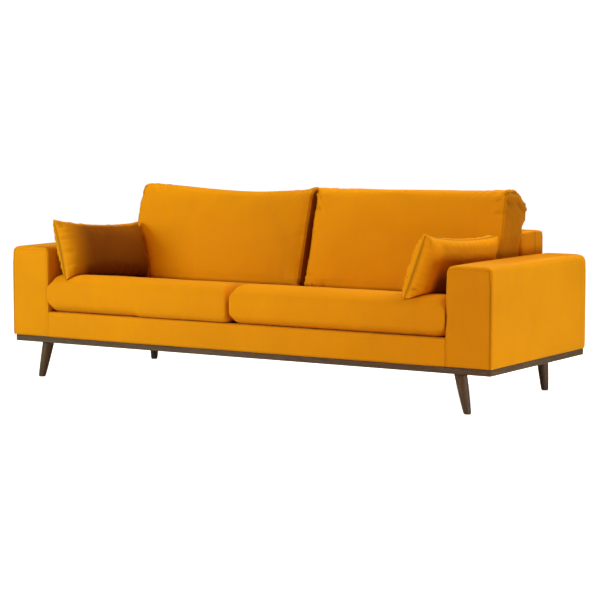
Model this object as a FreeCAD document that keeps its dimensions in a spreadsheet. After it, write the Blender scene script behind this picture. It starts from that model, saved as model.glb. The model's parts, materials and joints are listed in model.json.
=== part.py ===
import FreeCAD, Part

import os

import Sketcher

Vector = FreeCAD.Vector
Rotation = FreeCAD.Rotation

# Three-seat sofa in millimetres. +Z is up and the front faces -Y. +X is to the right of someone
# who looks at the front, and the names left and right are meant that way round too. The origin
# is on the floor under the middle of the sofa.
# Each size below becomes a cell of the sheet, and every piece is bound to those cells.
SIZES = {
    # overall
    "overall_width": 2300,
    "overall_depth": 850,
    "plinth_lift": 153,
    "clearance": 0.4,
    "overshoot": 1,
    # plinth and legs
    "plinth_height": 27,
    "plinth_thickness": 18,
    "plinth_inset": 8,
    "plinth_corner": 9,
    "leg_top_radius": 25,
    "leg_foot_radius": 15,
    "pad_radius": 13,
    "pad_height": 3,
    "front_leg_top_side": 156,
    "front_leg_top_end": 50,
    "front_leg_foot_side": 123,
    "front_leg_foot_end": 44,
    "rear_leg_top_side": 172,
    "rear_leg_top_end": 57,
    "rear_leg_foot_side": 162,
    "rear_leg_foot_end": 47,
    "block_length": 190,
    "block_width": 80,
    "plate_length": 72,
    "plate_width": 48,
    "plate_thickness": 3,
    "plate_screw_end": 7,
    "plate_screw_side": 8,
    "block_screw_wall": 12,
    "block_screw_edge": 14,
    "hanger_radius": 4,
    "hanger_in_leg": 45,
    "hanger_in_block": 22,
    # timber frame
    "rail_thickness": 30,
    "rail_height": 84,
    "cross_rail_height": 50,
    "cross_rail_spacing": 620,
    "board_thickness": 18,
    "panel_thickness": 4,
    "back_frame_depth": 55,
    "back_post_width": 40,
    "back_low_rail_height": 64,
    # upholstery
    "arm_width": 196,
    "arm_top": 560,
    "arm_round": 22,
    "cover_wall": 4,
    "side_padding": 8,
    "end_padding": 12,
    "top_padding": 12,
    "back_top": 652,
    "back_thickness": 195,
    "back_round": 20,
    "back_seam_from_rear": 83,
    "back_top_foam": 28,
    "front_panel_top": 285,
    "front_panel_wall": 12,
    "front_panel_round": 8,
    "front_lip_depth": 55,
    "deck_thickness": 3,
    "insulator_thickness": 10,
    "lining_thickness": 1,
    # springs and webbing
    "spring_spacing": 176,
    "spring_width": 44,
    "spring_pitch": 30,
    "spring_wire_radius": 1.9,
    "clip_height": 8,
    "clip_width": 14,
    "clip_length": 18,
    "strap_width": 60,
    "strap_thickness": 2,
    "strap_pitch": 75,
    "first_strap_rise": 56,
    # loose cushions
    "seat_cushion_height": 147,
    "seat_cushion_round": 26,
    "seat_split_from_middle": 45,
    "back_cushion_foot_depth": 198,
    "back_cushion_brow_depth": 146,
    "back_cushion_top": 820,
    "back_cushion_free_end": 112,
    "back_cushion_front_round": 45,
    "back_cushion_rear_round": 72,
    "back_cushion_end_round": 24,
    "pillow_end_room": 17,
    "pillow_width": 262,
    "pillow_half": 60,
    "pillow_lean": 19,
    "pillow_turn": 11,
    "right_pillow_from_arm": 95,
    "left_pillow_from_arm": 116,
    # fasteners
    "arm_bolt_inset": 83,
    "back_bolt_pitch": 480,
    "bolt_radius": 4,
    "bolt_head_radius": 9,
    "bolt_head_height": 5,
    "bolt_end": 3,
    "nut_height": 7,
    "screw_radius": 2.4,
    "screw_head_radius": 4.6,
    "screw_head_height": 2.6,
    "screw_length": 20,
    "long_screw_length": 52,
    "hole_clearance": 0.15,
    "hole_end_room": 1,
}

SPRING_COUNT = 10
ARM_BOLT_COUNT = 3
BACK_BOLT_COUNT = 4
STRAP_COUNT = 4
TOUCH = 1e-6
SCRATCH_START = 100000
SIDES = {"left": -1, "right": 1}
ENDS = {"front": -1, "rear": 1}

doc = FreeCAD.newDocument("Sofa")
sheet = doc.addObject("Spreadsheet::Sheet", "Sizes")
made = []


def fill_sheet():
    for row, (alias, value) in enumerate(SIZES.items(), start=1):
        sheet.set(f"A{row}", alias)
        sheet.set(f"B{row}", str(value))
        sheet.setAlias(f"B{row}", alias)
    doc.recompute()


def cell(text):
    """An expression with every alias in it turned into a reference to the sheet."""
    words = []
    for word in text.replace("(", " ( ").replace(")", " ) ").split():
        words.append(f"Sizes.{word}" if word in SIZES else word)
    return " ".join(words)


def value(text):
    """The number that an expression of aliases stands for."""
    scratch = value.scratch
    scratch.setExpression("Length", cell(f"( {text} ) + {SCRATCH_START}"))
    scratch.recompute()
    return scratch.Length.Value - SCRATCH_START


def bind(thing, **expressions):
    for name, text in expressions.items():
        thing.setExpression(name.replace("__", "."), cell(text))


def bind_place(thing, x, y, z):
    bind(thing, Placement__Base__x=x, Placement__Base__y=y, Placement__Base__z=z)


def keep(thing, label):
    """Marks a finished sub-part and gives it the name of its node."""
    thing.Label = label
    made.append(thing)
    return thing


def box(name, x, y, z):
    """A block between two planes on each axis, every plane an expression."""
    block = doc.addObject("Part::Box", name)
    bind(
        block,
        Length=f"( {x[1]} ) - ( {x[0]} )",
        Width=f"( {y[1]} ) - ( {y[0]} )",
        Height=f"( {z[1]} ) - ( {z[0]} )",
    )
    bind_place(block, x[0], y[0], z[0])
    return block


def cylinder(name, radius, low, high, axis="z", x="0", y="0", z="0"):
    """A round bar from low to high along one axis; the other two coordinates give its centre line."""
    bar = doc.addObject("Part::Cylinder", name)
    bind(bar, Radius=radius, Height=f"( {high} ) - ( {low} )")
    turns = {"x": Rotation(Vector(0, 1, 0), 90), "y": Rotation(Vector(1, 0, 0), -90), "z": Rotation()}
    bar.Placement = FreeCAD.Placement(Vector(), turns[axis])
    place = {"x": x, "y": y, "z": z}
    place[axis] = low
    bind_place(bar, **place)
    return bar


def group(name, things):
    """Separate solids kept together under one name."""
    bundle = doc.addObject("Part::Compound", name)
    bundle.Links = things
    return bundle


def cut(name, base, tool):
    result = doc.addObject("Part::Cut", name)
    result.Base = base
    result.Tool = tool
    return result


def common(name, base, tool):
    result = doc.addObject("Part::Common", name)
    result.Base = base
    result.Tool = tool
    return result


def origin_plane(body, role):
    return next(plane for plane in body.Origin.OriginFeatures if plane.Role == role)


def attach(sketch, body, role, offset):
    sketch.AttachmentSupport = [(origin_plane(body, role), "")]
    sketch.MapMode = "FlatFace"
    sketch.setExpression("AttachmentOffset.Base.z", cell(offset))


def set_datum(sketch, index, name, text):
    sketch.renameConstraint(index, name)
    sketch.setExpression(f"Constraints.{name}", cell(text))


def profile_sketch(body, name, corners, start):
    """A closed outline in the YZ plane through corners given as pairs of expressions."""
    sketch = body.newObject("Sketcher::SketchObject", name)
    attach(sketch, body, "YZ_Plane", start)
    spots = [Vector(value(u), value(v), 0) for u, v in corners]
    count = len(spots)
    for index in range(count):
        sketch.addGeometry(Part.LineSegment(spots[index], spots[(index + 1) % count]))
    for index in range(count):
        sketch.addConstraint(Sketcher.Constraint("Coincident", index, 2, (index + 1) % count, 1))
    for index, (u, v) in enumerate(corners):
        across = sketch.addConstraint(
            Sketcher.Constraint("DistanceX", -1, 1, index, 1, spots[index].x)
        )
        set_datum(sketch, across, f"across{index}", u)
        up = sketch.addConstraint(Sketcher.Constraint("DistanceY", -1, 1, index, 1, spots[index].y))
        set_datum(sketch, up, f"up{index}", v)
    return sketch


def profile_pad(name, corners, x_low, x_high):
    """A body with one cross-section all along X, between two planes."""
    body = doc.addObject("PartDesign::Body", name)
    sketch = profile_sketch(body, f"{name}_outline", corners, x_low)
    pad = body.newObject("PartDesign::Pad", f"{name}_pad")
    pad.Profile = sketch
    bind(pad, Length=f"( {x_high} ) - ( {x_low} )")
    doc.recompute()
    return body


def block_body(name, x, y, z):
    """A body that starts as a block between two planes on each axis."""
    body = doc.addObject("PartDesign::Body", name)
    block = body.newObject("PartDesign::AdditiveBox", f"{name}_block")
    bind(
        block,
        Length=f"( {x[1]} ) - ( {x[0]} )",
        Width=f"( {y[1]} ) - ( {y[0]} )",
        Height=f"( {z[1]} ) - ( {z[0]} )",
    )
    bind_place(block, x[0], y[0], z[0])
    doc.recompute()
    return body


def round_edges(body, radius, wanted):
    """Rounds the edges of the body's last feature for which wanted(edge, box) is true."""
    base = body.Tip
    bounds = base.Shape.BoundBox
    names = [
        f"Edge{number}"
        for number, edge in enumerate(base.Shape.Edges, start=1)
        if wanted(edge, bounds)
    ]
    fillet = body.newObject("PartDesign::Fillet", f"{body.Name}_round{len(body.Group)}")
    fillet.Base = (base, names)
    bind(fillet, Radius=radius)
    doc.recompute()
    return fillet


def runs_along(edge, axis):
    """True for a straight edge along an axis: 0 for X, 1 for Y, 2 for Z."""
    ends = [vertex.Point for vertex in edge.Vertexes]
    if len(ends) < 2 or not isinstance(edge.Curve, Part.Line):
        return False
    step = ends[1] - ends[0]
    return all(abs(step[other]) < TOUCH for other in range(3) if other != axis)


def above(edge, height):
    return edge.CenterOfMass.z > height


def slanted_round(name, low, high):
    """A round bar between two level circles, each (x, y, z, radius) as expressions."""
    body = doc.addObject("PartDesign::Body", name)
    sketches = []
    for tag, (x, y, z, radius) in (("low", low), ("high", high)):
        sketch = body.newObject("Sketcher::SketchObject", f"{name}_{tag}")
        attach(sketch, body, "XY_Plane", z)
        sketch.addGeometry(Part.Circle(Vector(value(x), value(y), 0), Vector(0, 0, 1), value(radius)))
        for kind, datum, text in (("DistanceX", "across", x), ("DistanceY", "along", y)):
            index = sketch.addConstraint(Sketcher.Constraint(kind, -1, 1, 0, 3, value(text)))
            set_datum(sketch, index, datum, text)
        index = sketch.addConstraint(Sketcher.Constraint("Radius", 0, value(radius)))
        set_datum(sketch, index, "radius", radius)
        sketches.append(sketch)
    loft = body.newObject("PartDesign::AdditiveLoft", f"{name}_loft")
    loft.Profile = sketches[0]
    loft.Sections = [sketches[1]]
    loft.Ruled = True
    doc.recompute()
    return body


# planes that several pieces share
HALF_WIDTH = "overall_width / 2"
HALF_DEPTH = "overall_depth / 2"
ARM_INNER = "overall_width / 2 - arm_width"
BASE_UNDER = "plinth_lift + plinth_height"
RAIL_TOP = "plinth_lift + plinth_height + rail_height"
FRONT_RAIL_FACE = "front_panel_wall - overall_depth / 2"
FRONT_RAIL_INSIDE = "front_panel_wall - overall_depth / 2 + rail_thickness"
BACK_FRONT = "overall_depth / 2 - back_thickness"
BACK_SEAM = "overall_depth / 2 - back_seam_from_rear"
PLINTH_OUT_X = "overall_width / 2 - plinth_inset"
PLINTH_IN_X = "overall_width / 2 - plinth_inset - plinth_thickness"
PLINTH_OUT_Y = "overall_depth / 2 - plinth_inset"
PLINTH_IN_Y = "overall_depth / 2 - plinth_inset - plinth_thickness"
PLATE_TOP = "plinth_lift + plate_thickness"
DECK_TOP = "front_panel_top"
SEAT_UNDER = "front_panel_top + clearance"
SEAT_TOP = "front_panel_top + clearance + seat_cushion_height"
LOOSE_UNDER = "front_panel_top + 2 * clearance + seat_cushion_height"
REAR_RAIL_FACE = "overall_depth / 2 - back_thickness - rail_thickness"
BOLT_LEVEL = "plinth_lift + plinth_height + rail_height / 2"
BACK_CUSHION_FOOT = "overall_depth / 2 - back_thickness - clearance - back_cushion_foot_depth"
BACK_CUSHION_BROW = "overall_depth / 2 - back_thickness - clearance - back_cushion_brow_depth"


def arm_bolt_place(number):
    """The Y of a bolt that holds an arm, the first and the last one inset from the base rails."""
    room = f"( {REAR_RAIL_FACE} ) - ( {FRONT_RAIL_INSIDE} ) - 2 * arm_bolt_inset"
    return f"{FRONT_RAIL_INSIDE} + arm_bolt_inset + {number} * ( {room} ) / {ARM_BOLT_COUNT - 1}"


def back_bolt_place(number):
    """The X of a bolt that holds the backrest."""
    return f"{number - (BACK_BOLT_COUNT - 1) / 2} * back_bolt_pitch"


def minus(text):
    return f"0 - ( {text} )"


def mirror_span(low, high, sign):
    """The span between two planes, or its mirror image."""
    return (low, high) if sign > 0 else (minus(high), minus(low))


def signed(text, sign):
    return text if sign > 0 else minus(text)


def make_plinth():
    for end, sign in ENDS.items():
        rail = block_body(
            f"plinth_{end}",
            (minus(PLINTH_OUT_X), PLINTH_OUT_X),
            mirror_span(PLINTH_IN_Y, PLINTH_OUT_Y, sign),
            ("plinth_lift", BASE_UNDER),
        )
        reach = sign * value(PLINTH_OUT_Y)
        round_edges(
            rail,
            "plinth_corner",
            lambda edge, bounds: runs_along(edge, 2) and abs(edge.CenterOfMass.y - reach) < TOUCH,
        )
        keep(rail, f"plinth_{end}")
    for side, sign in SIDES.items():
        rail = box(
            f"plinth_{side}",
            mirror_span(PLINTH_IN_X, PLINTH_OUT_X, sign),
            (minus(PLINTH_IN_Y), PLINTH_IN_Y),
            ("plinth_lift", BASE_UNDER),
        )
        keep(rail, f"plinth_{side}")


def leg_centre(end, level):
    """The X and Y of a leg's centre line on the right-hand side, at its top or its foot."""
    return (
        f"overall_width / 2 - {end}_leg_{level}_side",
        f"overall_depth / 2 - {end}_leg_{level}_end",
    )


def centre_line_at(end, side_sign, end_sign, z):
    """A point on a leg's centre line at height z, as expressions."""
    top = leg_centre(end, "top")
    foot = leg_centre(end, "foot")
    point = []
    for high, low, sign in ((top[0], foot[0], side_sign), (top[1], foot[1], end_sign)):
        slope = f"( ( {high} ) - ( {low} ) ) / ( plinth_lift - pad_height )"
        point.append(signed(f"( {low} ) + ( {slope} ) * ( ( {z} ) - pad_height )", sign))
    return point


def make_legs():
    """Tapered turned legs, each on a steel plate under a corner block of the plinth."""
    pads, plates, bolts, blocks, plate_screws, block_screws = [], [], [], [], [], []
    for end, end_sign in ENDS.items():
        for side, side_sign in SIDES.items():
            tag = f"{end}_{side}"

            def on_line(z):
                return centre_line_at(end, side_sign, end_sign, z)

            foot, top = on_line("pad_height"), on_line("plinth_lift")
            blank = slanted_round(
                f"leg_blank_{tag}",
                (*foot, "pad_height", "leg_foot_radius"),
                (*top, "plinth_lift", "leg_top_radius"),
            )
            bolt_low = "plinth_lift - hanger_in_leg"
            bolt_high = "plinth_lift + hanger_in_block"
            bolt_ends = ((*on_line(bolt_low), bolt_low), (*on_line(bolt_high), bolt_high))
            hole = slanted_round(
                f"hanger_hole_{tag}",
                *[(*spot, "hanger_radius + hole_clearance") for spot in bolt_ends],
            )
            bolt = slanted_round(f"hanger_{tag}", *[(*spot, "hanger_radius") for spot in bolt_ends])
            keep(cut(f"leg_{tag}", blank, hole), f"leg_{tag}")
            bolts.append(bolt)
            pads.append(cylinder(f"pad_{tag}", "pad_radius", "0", "pad_height", x=foot[0], y=foot[1]))

            screws = []
            for across in (-1, 1):
                for along in (-1, 1):
                    x = f"( {top[0]} ) + {across} * ( plate_length / 2 - plate_screw_end )"
                    y = f"( {top[1]} ) + {along} * ( plate_width / 2 - plate_screw_side )"
                    screws.append((x, y))
            plate = box(
                f"plate_blank_{tag}",
                (f"( {top[0]} ) - plate_length / 2", f"( {top[0]} ) + plate_length / 2"),
                (f"( {top[1]} ) - plate_width / 2", f"( {top[1]} ) + plate_width / 2"),
                ("plinth_lift", PLATE_TOP),
            )
            block = box(
                f"block_blank_{tag}",
                mirror_span(f"{PLINTH_IN_X} - block_length", PLINTH_IN_X, side_sign),
                mirror_span(f"{PLINTH_IN_Y} - block_width", PLINTH_IN_Y, end_sign),
                (PLATE_TOP, BASE_UNDER),
            )
            plate_holes, block_holes = [hole], [hole]
            for number, (x, y) in enumerate(screws):
                name = f"{tag}_{number}"
                plate_screws.append(plate_screw(name, x, y))
                plate_holes.append(
                    cylinder(
                        f"plate_hole_{name}", "screw_head_radius + hole_clearance",
                        "plinth_lift - overshoot", f"{PLATE_TOP} + overshoot", x=x, y=y,
                    )
                )
                block_holes.append(
                    cylinder(
                        f"pilot_{name}", "screw_radius + hole_clearance",
                        f"{PLATE_TOP} - overshoot", f"{PLATE_TOP} + screw_length", x=x, y=y,
                    )
                )
            for number, reach in enumerate(("arm_inner_rail", "arm_outer_rail")):
                name = f"{tag}_{number}"
                x, y = block_screw_spot(reach, side_sign, end_sign)
                block_screws.append(block_screw(name, x, y))
                block_holes.append(
                    cylinder(
                        f"block_hole_{name}", "screw_radius + hole_clearance",
                        f"{PLATE_TOP} - overshoot", f"{BASE_UNDER} + overshoot", x=x, y=y,
                    )
                )
            plates.append(cut(f"plate_{tag}", plate, group(f"plate_holes_{tag}", plate_holes)))
            blocks.append(cut(f"block_{tag}", block, group(f"block_holes_{tag}", block_holes)))
    keep(group("felt_pads", pads), "felt_pads")
    keep(group("leg_plates", plates), "leg_mounting_plates")
    keep(group("hanger_bolts", bolts), "leg_hanger_bolts")
    keep(group("corner_blocks", blocks), "plinth_corner_blocks")
    keep(group("plate_screws", plate_screws), "leg_plate_screws")
    keep(group("block_screws", block_screws), "corner_block_screws")


def plate_screw(name, x, y):
    """A wood screw whose head fills the plate's hole, with its shank up in the block."""
    tip = f"{PLATE_TOP} + screw_length - hole_end_room"
    shank = cylinder(f"plate_shank_{name}", "screw_radius", PLATE_TOP, tip, x=x, y=y)
    head = cylinder(f"plate_head_{name}", "screw_head_radius", "plinth_lift", PLATE_TOP, x=x, y=y)
    screw = doc.addObject("Part::Fuse", f"plate_screw_{name}")
    screw.Base = head
    screw.Tool = shank
    return screw


def block_screw_spot(reach, side_sign, end_sign):
    """Where a long screw passes a corner block into one of the arm's bottom rails."""
    inner = f"{ARM_RAIL_FACES['inner'][0]} + rail_thickness / 2"
    outer = f"{PLINTH_IN_X} - block_screw_wall"
    x = inner if reach == "arm_inner_rail" else outer
    y = f"{PLINTH_IN_Y} - block_width + block_screw_edge"
    return signed(x, side_sign), signed(y, end_sign)


def block_screw(name, x, y):
    """A long screw with its head under the corner block."""
    head_under = f"{PLATE_TOP} - screw_head_height"
    shank = cylinder(
        f"block_shank_{name}", "screw_radius", PLATE_TOP, f"{PLATE_TOP} + long_screw_length", x=x, y=y
    )
    head = cylinder(f"block_head_{name}", "screw_head_radius", head_under, PLATE_TOP, x=x, y=y)
    screw = doc.addObject("Part::Fuse", f"block_screw_{name}")
    screw.Base = head
    screw.Tool = shank
    return screw


# the arm's timber box, measured on the right-hand arm
ARM_BOX_X = (
    f"{ARM_INNER} + cover_wall + side_padding",
    f"{HALF_WIDTH} - cover_wall - side_padding",
)
ARM_BOX_Y = (f"cover_wall + end_padding - {HALF_DEPTH}", f"{HALF_DEPTH} - cover_wall - end_padding")
ARM_BOX_TOP = "arm_top - cover_wall - top_padding"
ARM_RAIL_FACES = {
    "inner": (
        f"{ARM_BOX_X[0]} + panel_thickness",
        f"{ARM_BOX_X[0]} + panel_thickness + rail_thickness",
    ),
    "outer": (
        f"{ARM_BOX_X[1]} - panel_thickness - rail_thickness",
        f"{ARM_BOX_X[1]} - panel_thickness",
    ),
}


def arm_bolt_tools(side, sign):
    """Holes for the bolts that hold an arm to the base, as one tool."""
    low, high = mirror_span(
        f"{ARM_INNER} - rail_thickness - overshoot", f"{ARM_RAIL_FACES['inner'][1]} + overshoot", sign
    )
    holes = [
        cylinder(
            f"arm_bolt_hole_{side}_{number}", "bolt_radius + hole_clearance", low, high,
            axis="x", y=arm_bolt_place(number), z=BOLT_LEVEL,
        )
        for number in range(ARM_BOLT_COUNT)
    ]
    return group(f"arm_bolt_holes_{side}", holes)


def through_bolt(name, axis, start, end, sign, **centre):
    """A bolt whose head lies before start and whose nut lies past end, along sign times the axis."""
    grip = mirror_span(start, f"{end} + nut_height + bolt_end", sign)
    head = mirror_span(f"{start} - bolt_head_height", start, sign)
    nut = mirror_span(end, f"{end} + nut_height", sign)
    shank = cylinder(f"shank_{name}", "bolt_radius", *grip, axis=axis, **centre)
    cap = cylinder(f"head_{name}", "bolt_head_radius", *head, axis=axis, **centre)
    bolt = doc.addObject("Part::Fuse", f"bolt_{name}")
    bolt.Base = cap
    bolt.Tool = shank
    blank = cylinder(f"nut_blank_{name}", "bolt_head_radius", *nut, axis=axis, **centre)
    through = mirror_span(f"{end} - overshoot", f"{end} + nut_height + overshoot", sign)
    bore = cylinder(
        f"nut_bore_{name}", "bolt_radius + hole_clearance", *through, axis=axis, **centre
    )
    return bolt, cut(f"nut_{name}", blank, bore)


def make_base():
    """The hardwood box under the seat, with its springs, cloths and front panel."""
    under_to_top = (BASE_UNDER, RAIL_TOP)
    between_arms = (minus(ARM_INNER), ARM_INNER)
    front_span = (FRONT_RAIL_FACE, FRONT_RAIL_INSIDE)
    keep(box("front_rail", between_arms, front_span, under_to_top), "base_front_rail")
    back_bolt_holes = group(
        "back_bolt_holes",
        [
            cylinder(
                f"back_bolt_hole_{number}", "bolt_radius + hole_clearance",
                f"{REAR_RAIL_FACE} - overshoot",
                f"{BACK_FRONT} + cover_wall + rail_thickness + overshoot",
                axis="y", x=back_bolt_place(number), z=BOLT_LEVEL,
            )
            for number in range(BACK_BOLT_COUNT)
        ],
    )
    rear = box("rear_rail_blank", between_arms, (REAR_RAIL_FACE, BACK_FRONT), under_to_top)
    keep(cut("base_rear_rail", rear, back_bolt_holes), "base_rear_rail")

    cross = []
    for sign in (-1, 1):
        middle = f"{sign} * cross_rail_spacing / 2"
        cross.append(
            box(
                f"cross_rail_{'left' if sign < 0 else 'right'}",
                (f"{middle} - rail_thickness / 2", f"{middle} + rail_thickness / 2"),
                (FRONT_RAIL_INSIDE, REAR_RAIL_FACE),
                (BASE_UNDER, f"{BASE_UNDER} + cross_rail_height"),
            )
        )
    keep(group("cross_rails", cross), "base_cross_rails")
    make_suspension()

    lip_under = f"{DECK_TOP} - deck_thickness"
    insulator_under = f"{lip_under} - insulator_thickness"
    insulator_span = (FRONT_RAIL_FACE, BACK_FRONT)
    insulator = box("insulator", between_arms, insulator_span, (insulator_under, lip_under))
    keep(insulator, "spring_insulator_pad")
    lip_rear = f"front_lip_depth - {HALF_DEPTH}"
    deck = box("deck", between_arms, (lip_rear, BACK_FRONT), (lip_under, DECK_TOP))
    keep(deck, "seat_deck_cloth")
    front = profile_pad(
        "base_front_cover",
        [
            (minus(HALF_DEPTH), BASE_UNDER),
            (FRONT_RAIL_FACE, BASE_UNDER),
            (FRONT_RAIL_FACE, lip_under),
            (lip_rear, lip_under),
            (lip_rear, DECK_TOP),
            (minus(HALF_DEPTH), DECK_TOP),
        ],
        *between_arms,
    )
    round_edges(
        front,
        "front_panel_round",
        lambda edge, bounds: runs_along(edge, 0)
        and abs(edge.CenterOfMass.y - bounds.YMin) < TOUCH
        and abs(edge.CenterOfMass.z - bounds.ZMax) < TOUCH,
    )
    keep(front, "base_front_cover")

    lining = box(
        "lining_blank", (minus(PLINTH_IN_X), PLINTH_IN_X), (minus(PLINTH_IN_Y), PLINTH_IN_Y),
        (f"{BASE_UNDER} - lining_thickness", BASE_UNDER),
    )
    corners = [
        box(
            f"lining_corner_{end}_{side}",
            mirror_span(f"{PLINTH_IN_X} - block_length", f"{PLINTH_IN_X} + overshoot", side_sign),
            mirror_span(f"{PLINTH_IN_Y} - block_width", f"{PLINTH_IN_Y} + overshoot", end_sign),
            (PLATE_TOP, f"{BASE_UNDER} + overshoot"),
        )
        for end, end_sign in ENDS.items()
        for side, side_sign in SIDES.items()
    ]
    keep(cut("lining", lining, group("lining_corners", corners)), "underside_dust_cover")
    return back_bolt_holes


def spring_shape(x, y_front, y_rear, z):
    """One flat zigzag spring: straight runs along X joined by half circles, swept with round wire."""
    bend = value("spring_pitch / 2")
    half_run = value("spring_width / 2") - bend
    turns = int((y_rear - y_front) // (2 * bend))
    turns -= turns % 2
    start = (y_front + y_rear) / 2 - turns * bend
    edges = []
    for turn in range(turns + 1):
        y = start + turn * 2 * bend
        sign = 1 if turn % 2 == 0 else -1
        here = Vector(x - sign * half_run, y, z)
        there = Vector(x + sign * half_run, y, z)
        edges.append(Part.LineSegment(here, there).toShape())
        if turn < turns:
            crest = Vector(x + sign * (half_run + bend), y + bend, z)
            beyond = Vector(x + sign * half_run, y + 2 * bend, z)
            edges.append(Part.Arc(there, crest, beyond).toShape())
    path = Part.Wire(edges)
    circle = Part.Circle(edges[0].firstVertex().Point, Vector(1, 0, 0), value("spring_wire_radius"))
    wire = path.makePipeShell([Part.Wire([circle.toShape()])], True, False)
    return wire, start, start + turns * 2 * bend


def make_suspension():
    """Zigzag springs from the front rail to the rear rail, held by clips on the rails."""
    wire_level = value(f"{RAIL_TOP} + clip_height / 2")
    springs, clips = [], []
    for number in range(SPRING_COUNT):
        x = (number - (SPRING_COUNT - 1) / 2) * value("spring_spacing")
        wire, front_end, rear_end = spring_shape(
            x,
            value(f"{FRONT_RAIL_INSIDE} - rail_thickness / 2"),
            value(f"{BACK_FRONT} - rail_thickness / 2"),
            wire_level,
        )
        springs.append(wire)
        for end, y in (("front", front_end), ("rear", rear_end)):
            block = box(
                f"clip_blank_{end}_{number}",
                (f"{x} - clip_width / 2", f"{x} + clip_width / 2"),
                (f"{y} - clip_length / 2", f"{y} + clip_length / 2"),
                (RAIL_TOP, f"{RAIL_TOP} + clip_height"),
            )
            channel = cylinder(
                f"clip_channel_{end}_{number}", "spring_wire_radius + hole_clearance",
                f"{x} - clip_width / 2 - overshoot", f"{x} + clip_width / 2 + overshoot",
                axis="x", y=f"{y}", z=f"{RAIL_TOP} + clip_height / 2",
            )
            clips.append(cut(f"clip_{end}_{number}", block, channel))
    holder = doc.addObject("Part::Feature", "springs")
    holder.Shape = Part.makeCompound(springs)
    keep(holder, "seat_springs")
    keep(group("spring_clips", clips), "spring_clips")


def rounded_arm(name, inset, sign):
    """The arm's outer form, or the same form set inwards by the cover's wall."""
    low_z = BASE_UNDER if inset == "0" else f"{BASE_UNDER} + {inset}"
    body = block_body(
        name,
        mirror_span(f"{ARM_INNER} + {inset}", f"{HALF_WIDTH} - {inset}", sign),
        (f"{inset} - {HALF_DEPTH}", f"{HALF_DEPTH} - {inset}"),
        (low_z, f"arm_top - {inset}"),
    )
    round_edges(
        body,
        f"arm_round - {inset}",
        lambda edge, bounds: runs_along(edge, 2) or above(edge, bounds.ZMax - TOUCH),
    )
    return body


def make_arm(side, sign):
    """One arm: a timber box, thin side boards, padding and a fitted cover, bolted to the base."""
    bolt_holes = arm_bolt_tools(side, sign)
    box_x = mirror_span(*ARM_BOX_X, sign)
    between_panels = mirror_span(ARM_RAIL_FACES["inner"][0], ARM_RAIL_FACES["outer"][1], sign)

    boards = []
    for end, (low, high) in {
        "front": (ARM_BOX_Y[0], f"{ARM_BOX_Y[0]} + board_thickness"),
        "rear": (f"{ARM_BOX_Y[1]} - board_thickness", ARM_BOX_Y[1]),
    }.items():
        board = box(f"arm_board_{end}_{side}", between_panels, (low, high), (BASE_UNDER, ARM_BOX_TOP))
        boards.append(board)
    keep(group(f"arm_boards_{side}", boards), f"arm_end_boards_{side}")

    inside_y = (f"{ARM_BOX_Y[0]} + board_thickness", f"{ARM_BOX_Y[1]} - board_thickness")
    keep(
        box(
            f"arm_top_board_{side}", between_panels, inside_y,
            (f"{ARM_BOX_TOP} - board_thickness", ARM_BOX_TOP),
        ),
        f"arm_top_board_{side}",
    )
    rails = []
    for place, faces in ARM_RAIL_FACES.items():
        rail_span = mirror_span(*faces, sign)
        rail = box(f"arm_rail_blank_{place}_{side}", rail_span, inside_y, (BASE_UNDER, RAIL_TOP))
        reach = f"arm_{place}_rail"
        pilots = []
        for end, end_sign in ENDS.items():
            x, y = block_screw_spot(reach, sign, end_sign)
            pilots.append(
                cylinder(
                    f"rail_pilot_{place}_{end}_{side}", "screw_radius + hole_clearance",
                    f"{BASE_UNDER} - overshoot",
                    f"{PLATE_TOP} + long_screw_length + hole_end_room", x=x, y=y,
                )
            )
        holes = pilots + [bolt_holes] if place == "inner" else pilots
        tool = group(f"arm_rail_holes_{place}_{side}", holes)
        rails.append(cut(f"arm_rail_{place}_{side}", rail, tool))
    keep(group(f"arm_rails_{side}", rails), f"arm_bottom_rails_{side}")

    panels = []
    for place, (low, high) in {
        "inner": (ARM_BOX_X[0], ARM_RAIL_FACES["inner"][0]),
        "outer": (ARM_RAIL_FACES["outer"][1], ARM_BOX_X[1]),
    }.items():
        panel_span = mirror_span(low, high, sign)
        panel = box(f"arm_panel_blank_{place}_{side}", panel_span, ARM_BOX_Y, (BASE_UNDER, ARM_BOX_TOP))
        drilled = place == "inner"
        panels.append(cut(f"arm_panel_{place}_{side}", panel, bolt_holes) if drilled else panel)
    keep(group(f"arm_panels_{side}", panels), f"arm_side_boards_{side}")

    outer = rounded_arm(f"arm_outer_{side}", "0", sign)
    inner = rounded_arm(f"arm_inner_{side}", "cover_wall", sign)
    timber_z = (f"{BASE_UNDER} - overshoot", ARM_BOX_TOP)
    timber = box(f"arm_timber_{side}", box_x, ARM_BOX_Y, timber_z)
    removed = group(f"arm_removed_{side}", [timber, bolt_holes])
    keep(cut(f"arm_padding_{side}", inner, removed), f"arm_padding_{side}")
    hollow = group(f"arm_hollow_{side}", [inner, timber, bolt_holes])
    keep(cut(f"arm_cover_{side}", outer, hollow), f"arm_cover_{side}")

    side_rail = box(
        f"base_rail_blank_{side}",
        mirror_span(f"{ARM_INNER} - rail_thickness", ARM_INNER, sign),
        (FRONT_RAIL_INSIDE, REAR_RAIL_FACE),
        (BASE_UNDER, RAIL_TOP),
    )
    keep(cut(f"base_{side}_rail", side_rail, bolt_holes), f"base_{side}_rail")

    return [
        through_bolt(
            f"arm_{side}_{number}", "x", f"{ARM_INNER} - rail_thickness", ARM_RAIL_FACES["inner"][1],
            sign, y=arm_bolt_place(number), z=BOLT_LEVEL,
        )
        for number in range(ARM_BOLT_COUNT)
    ]


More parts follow.
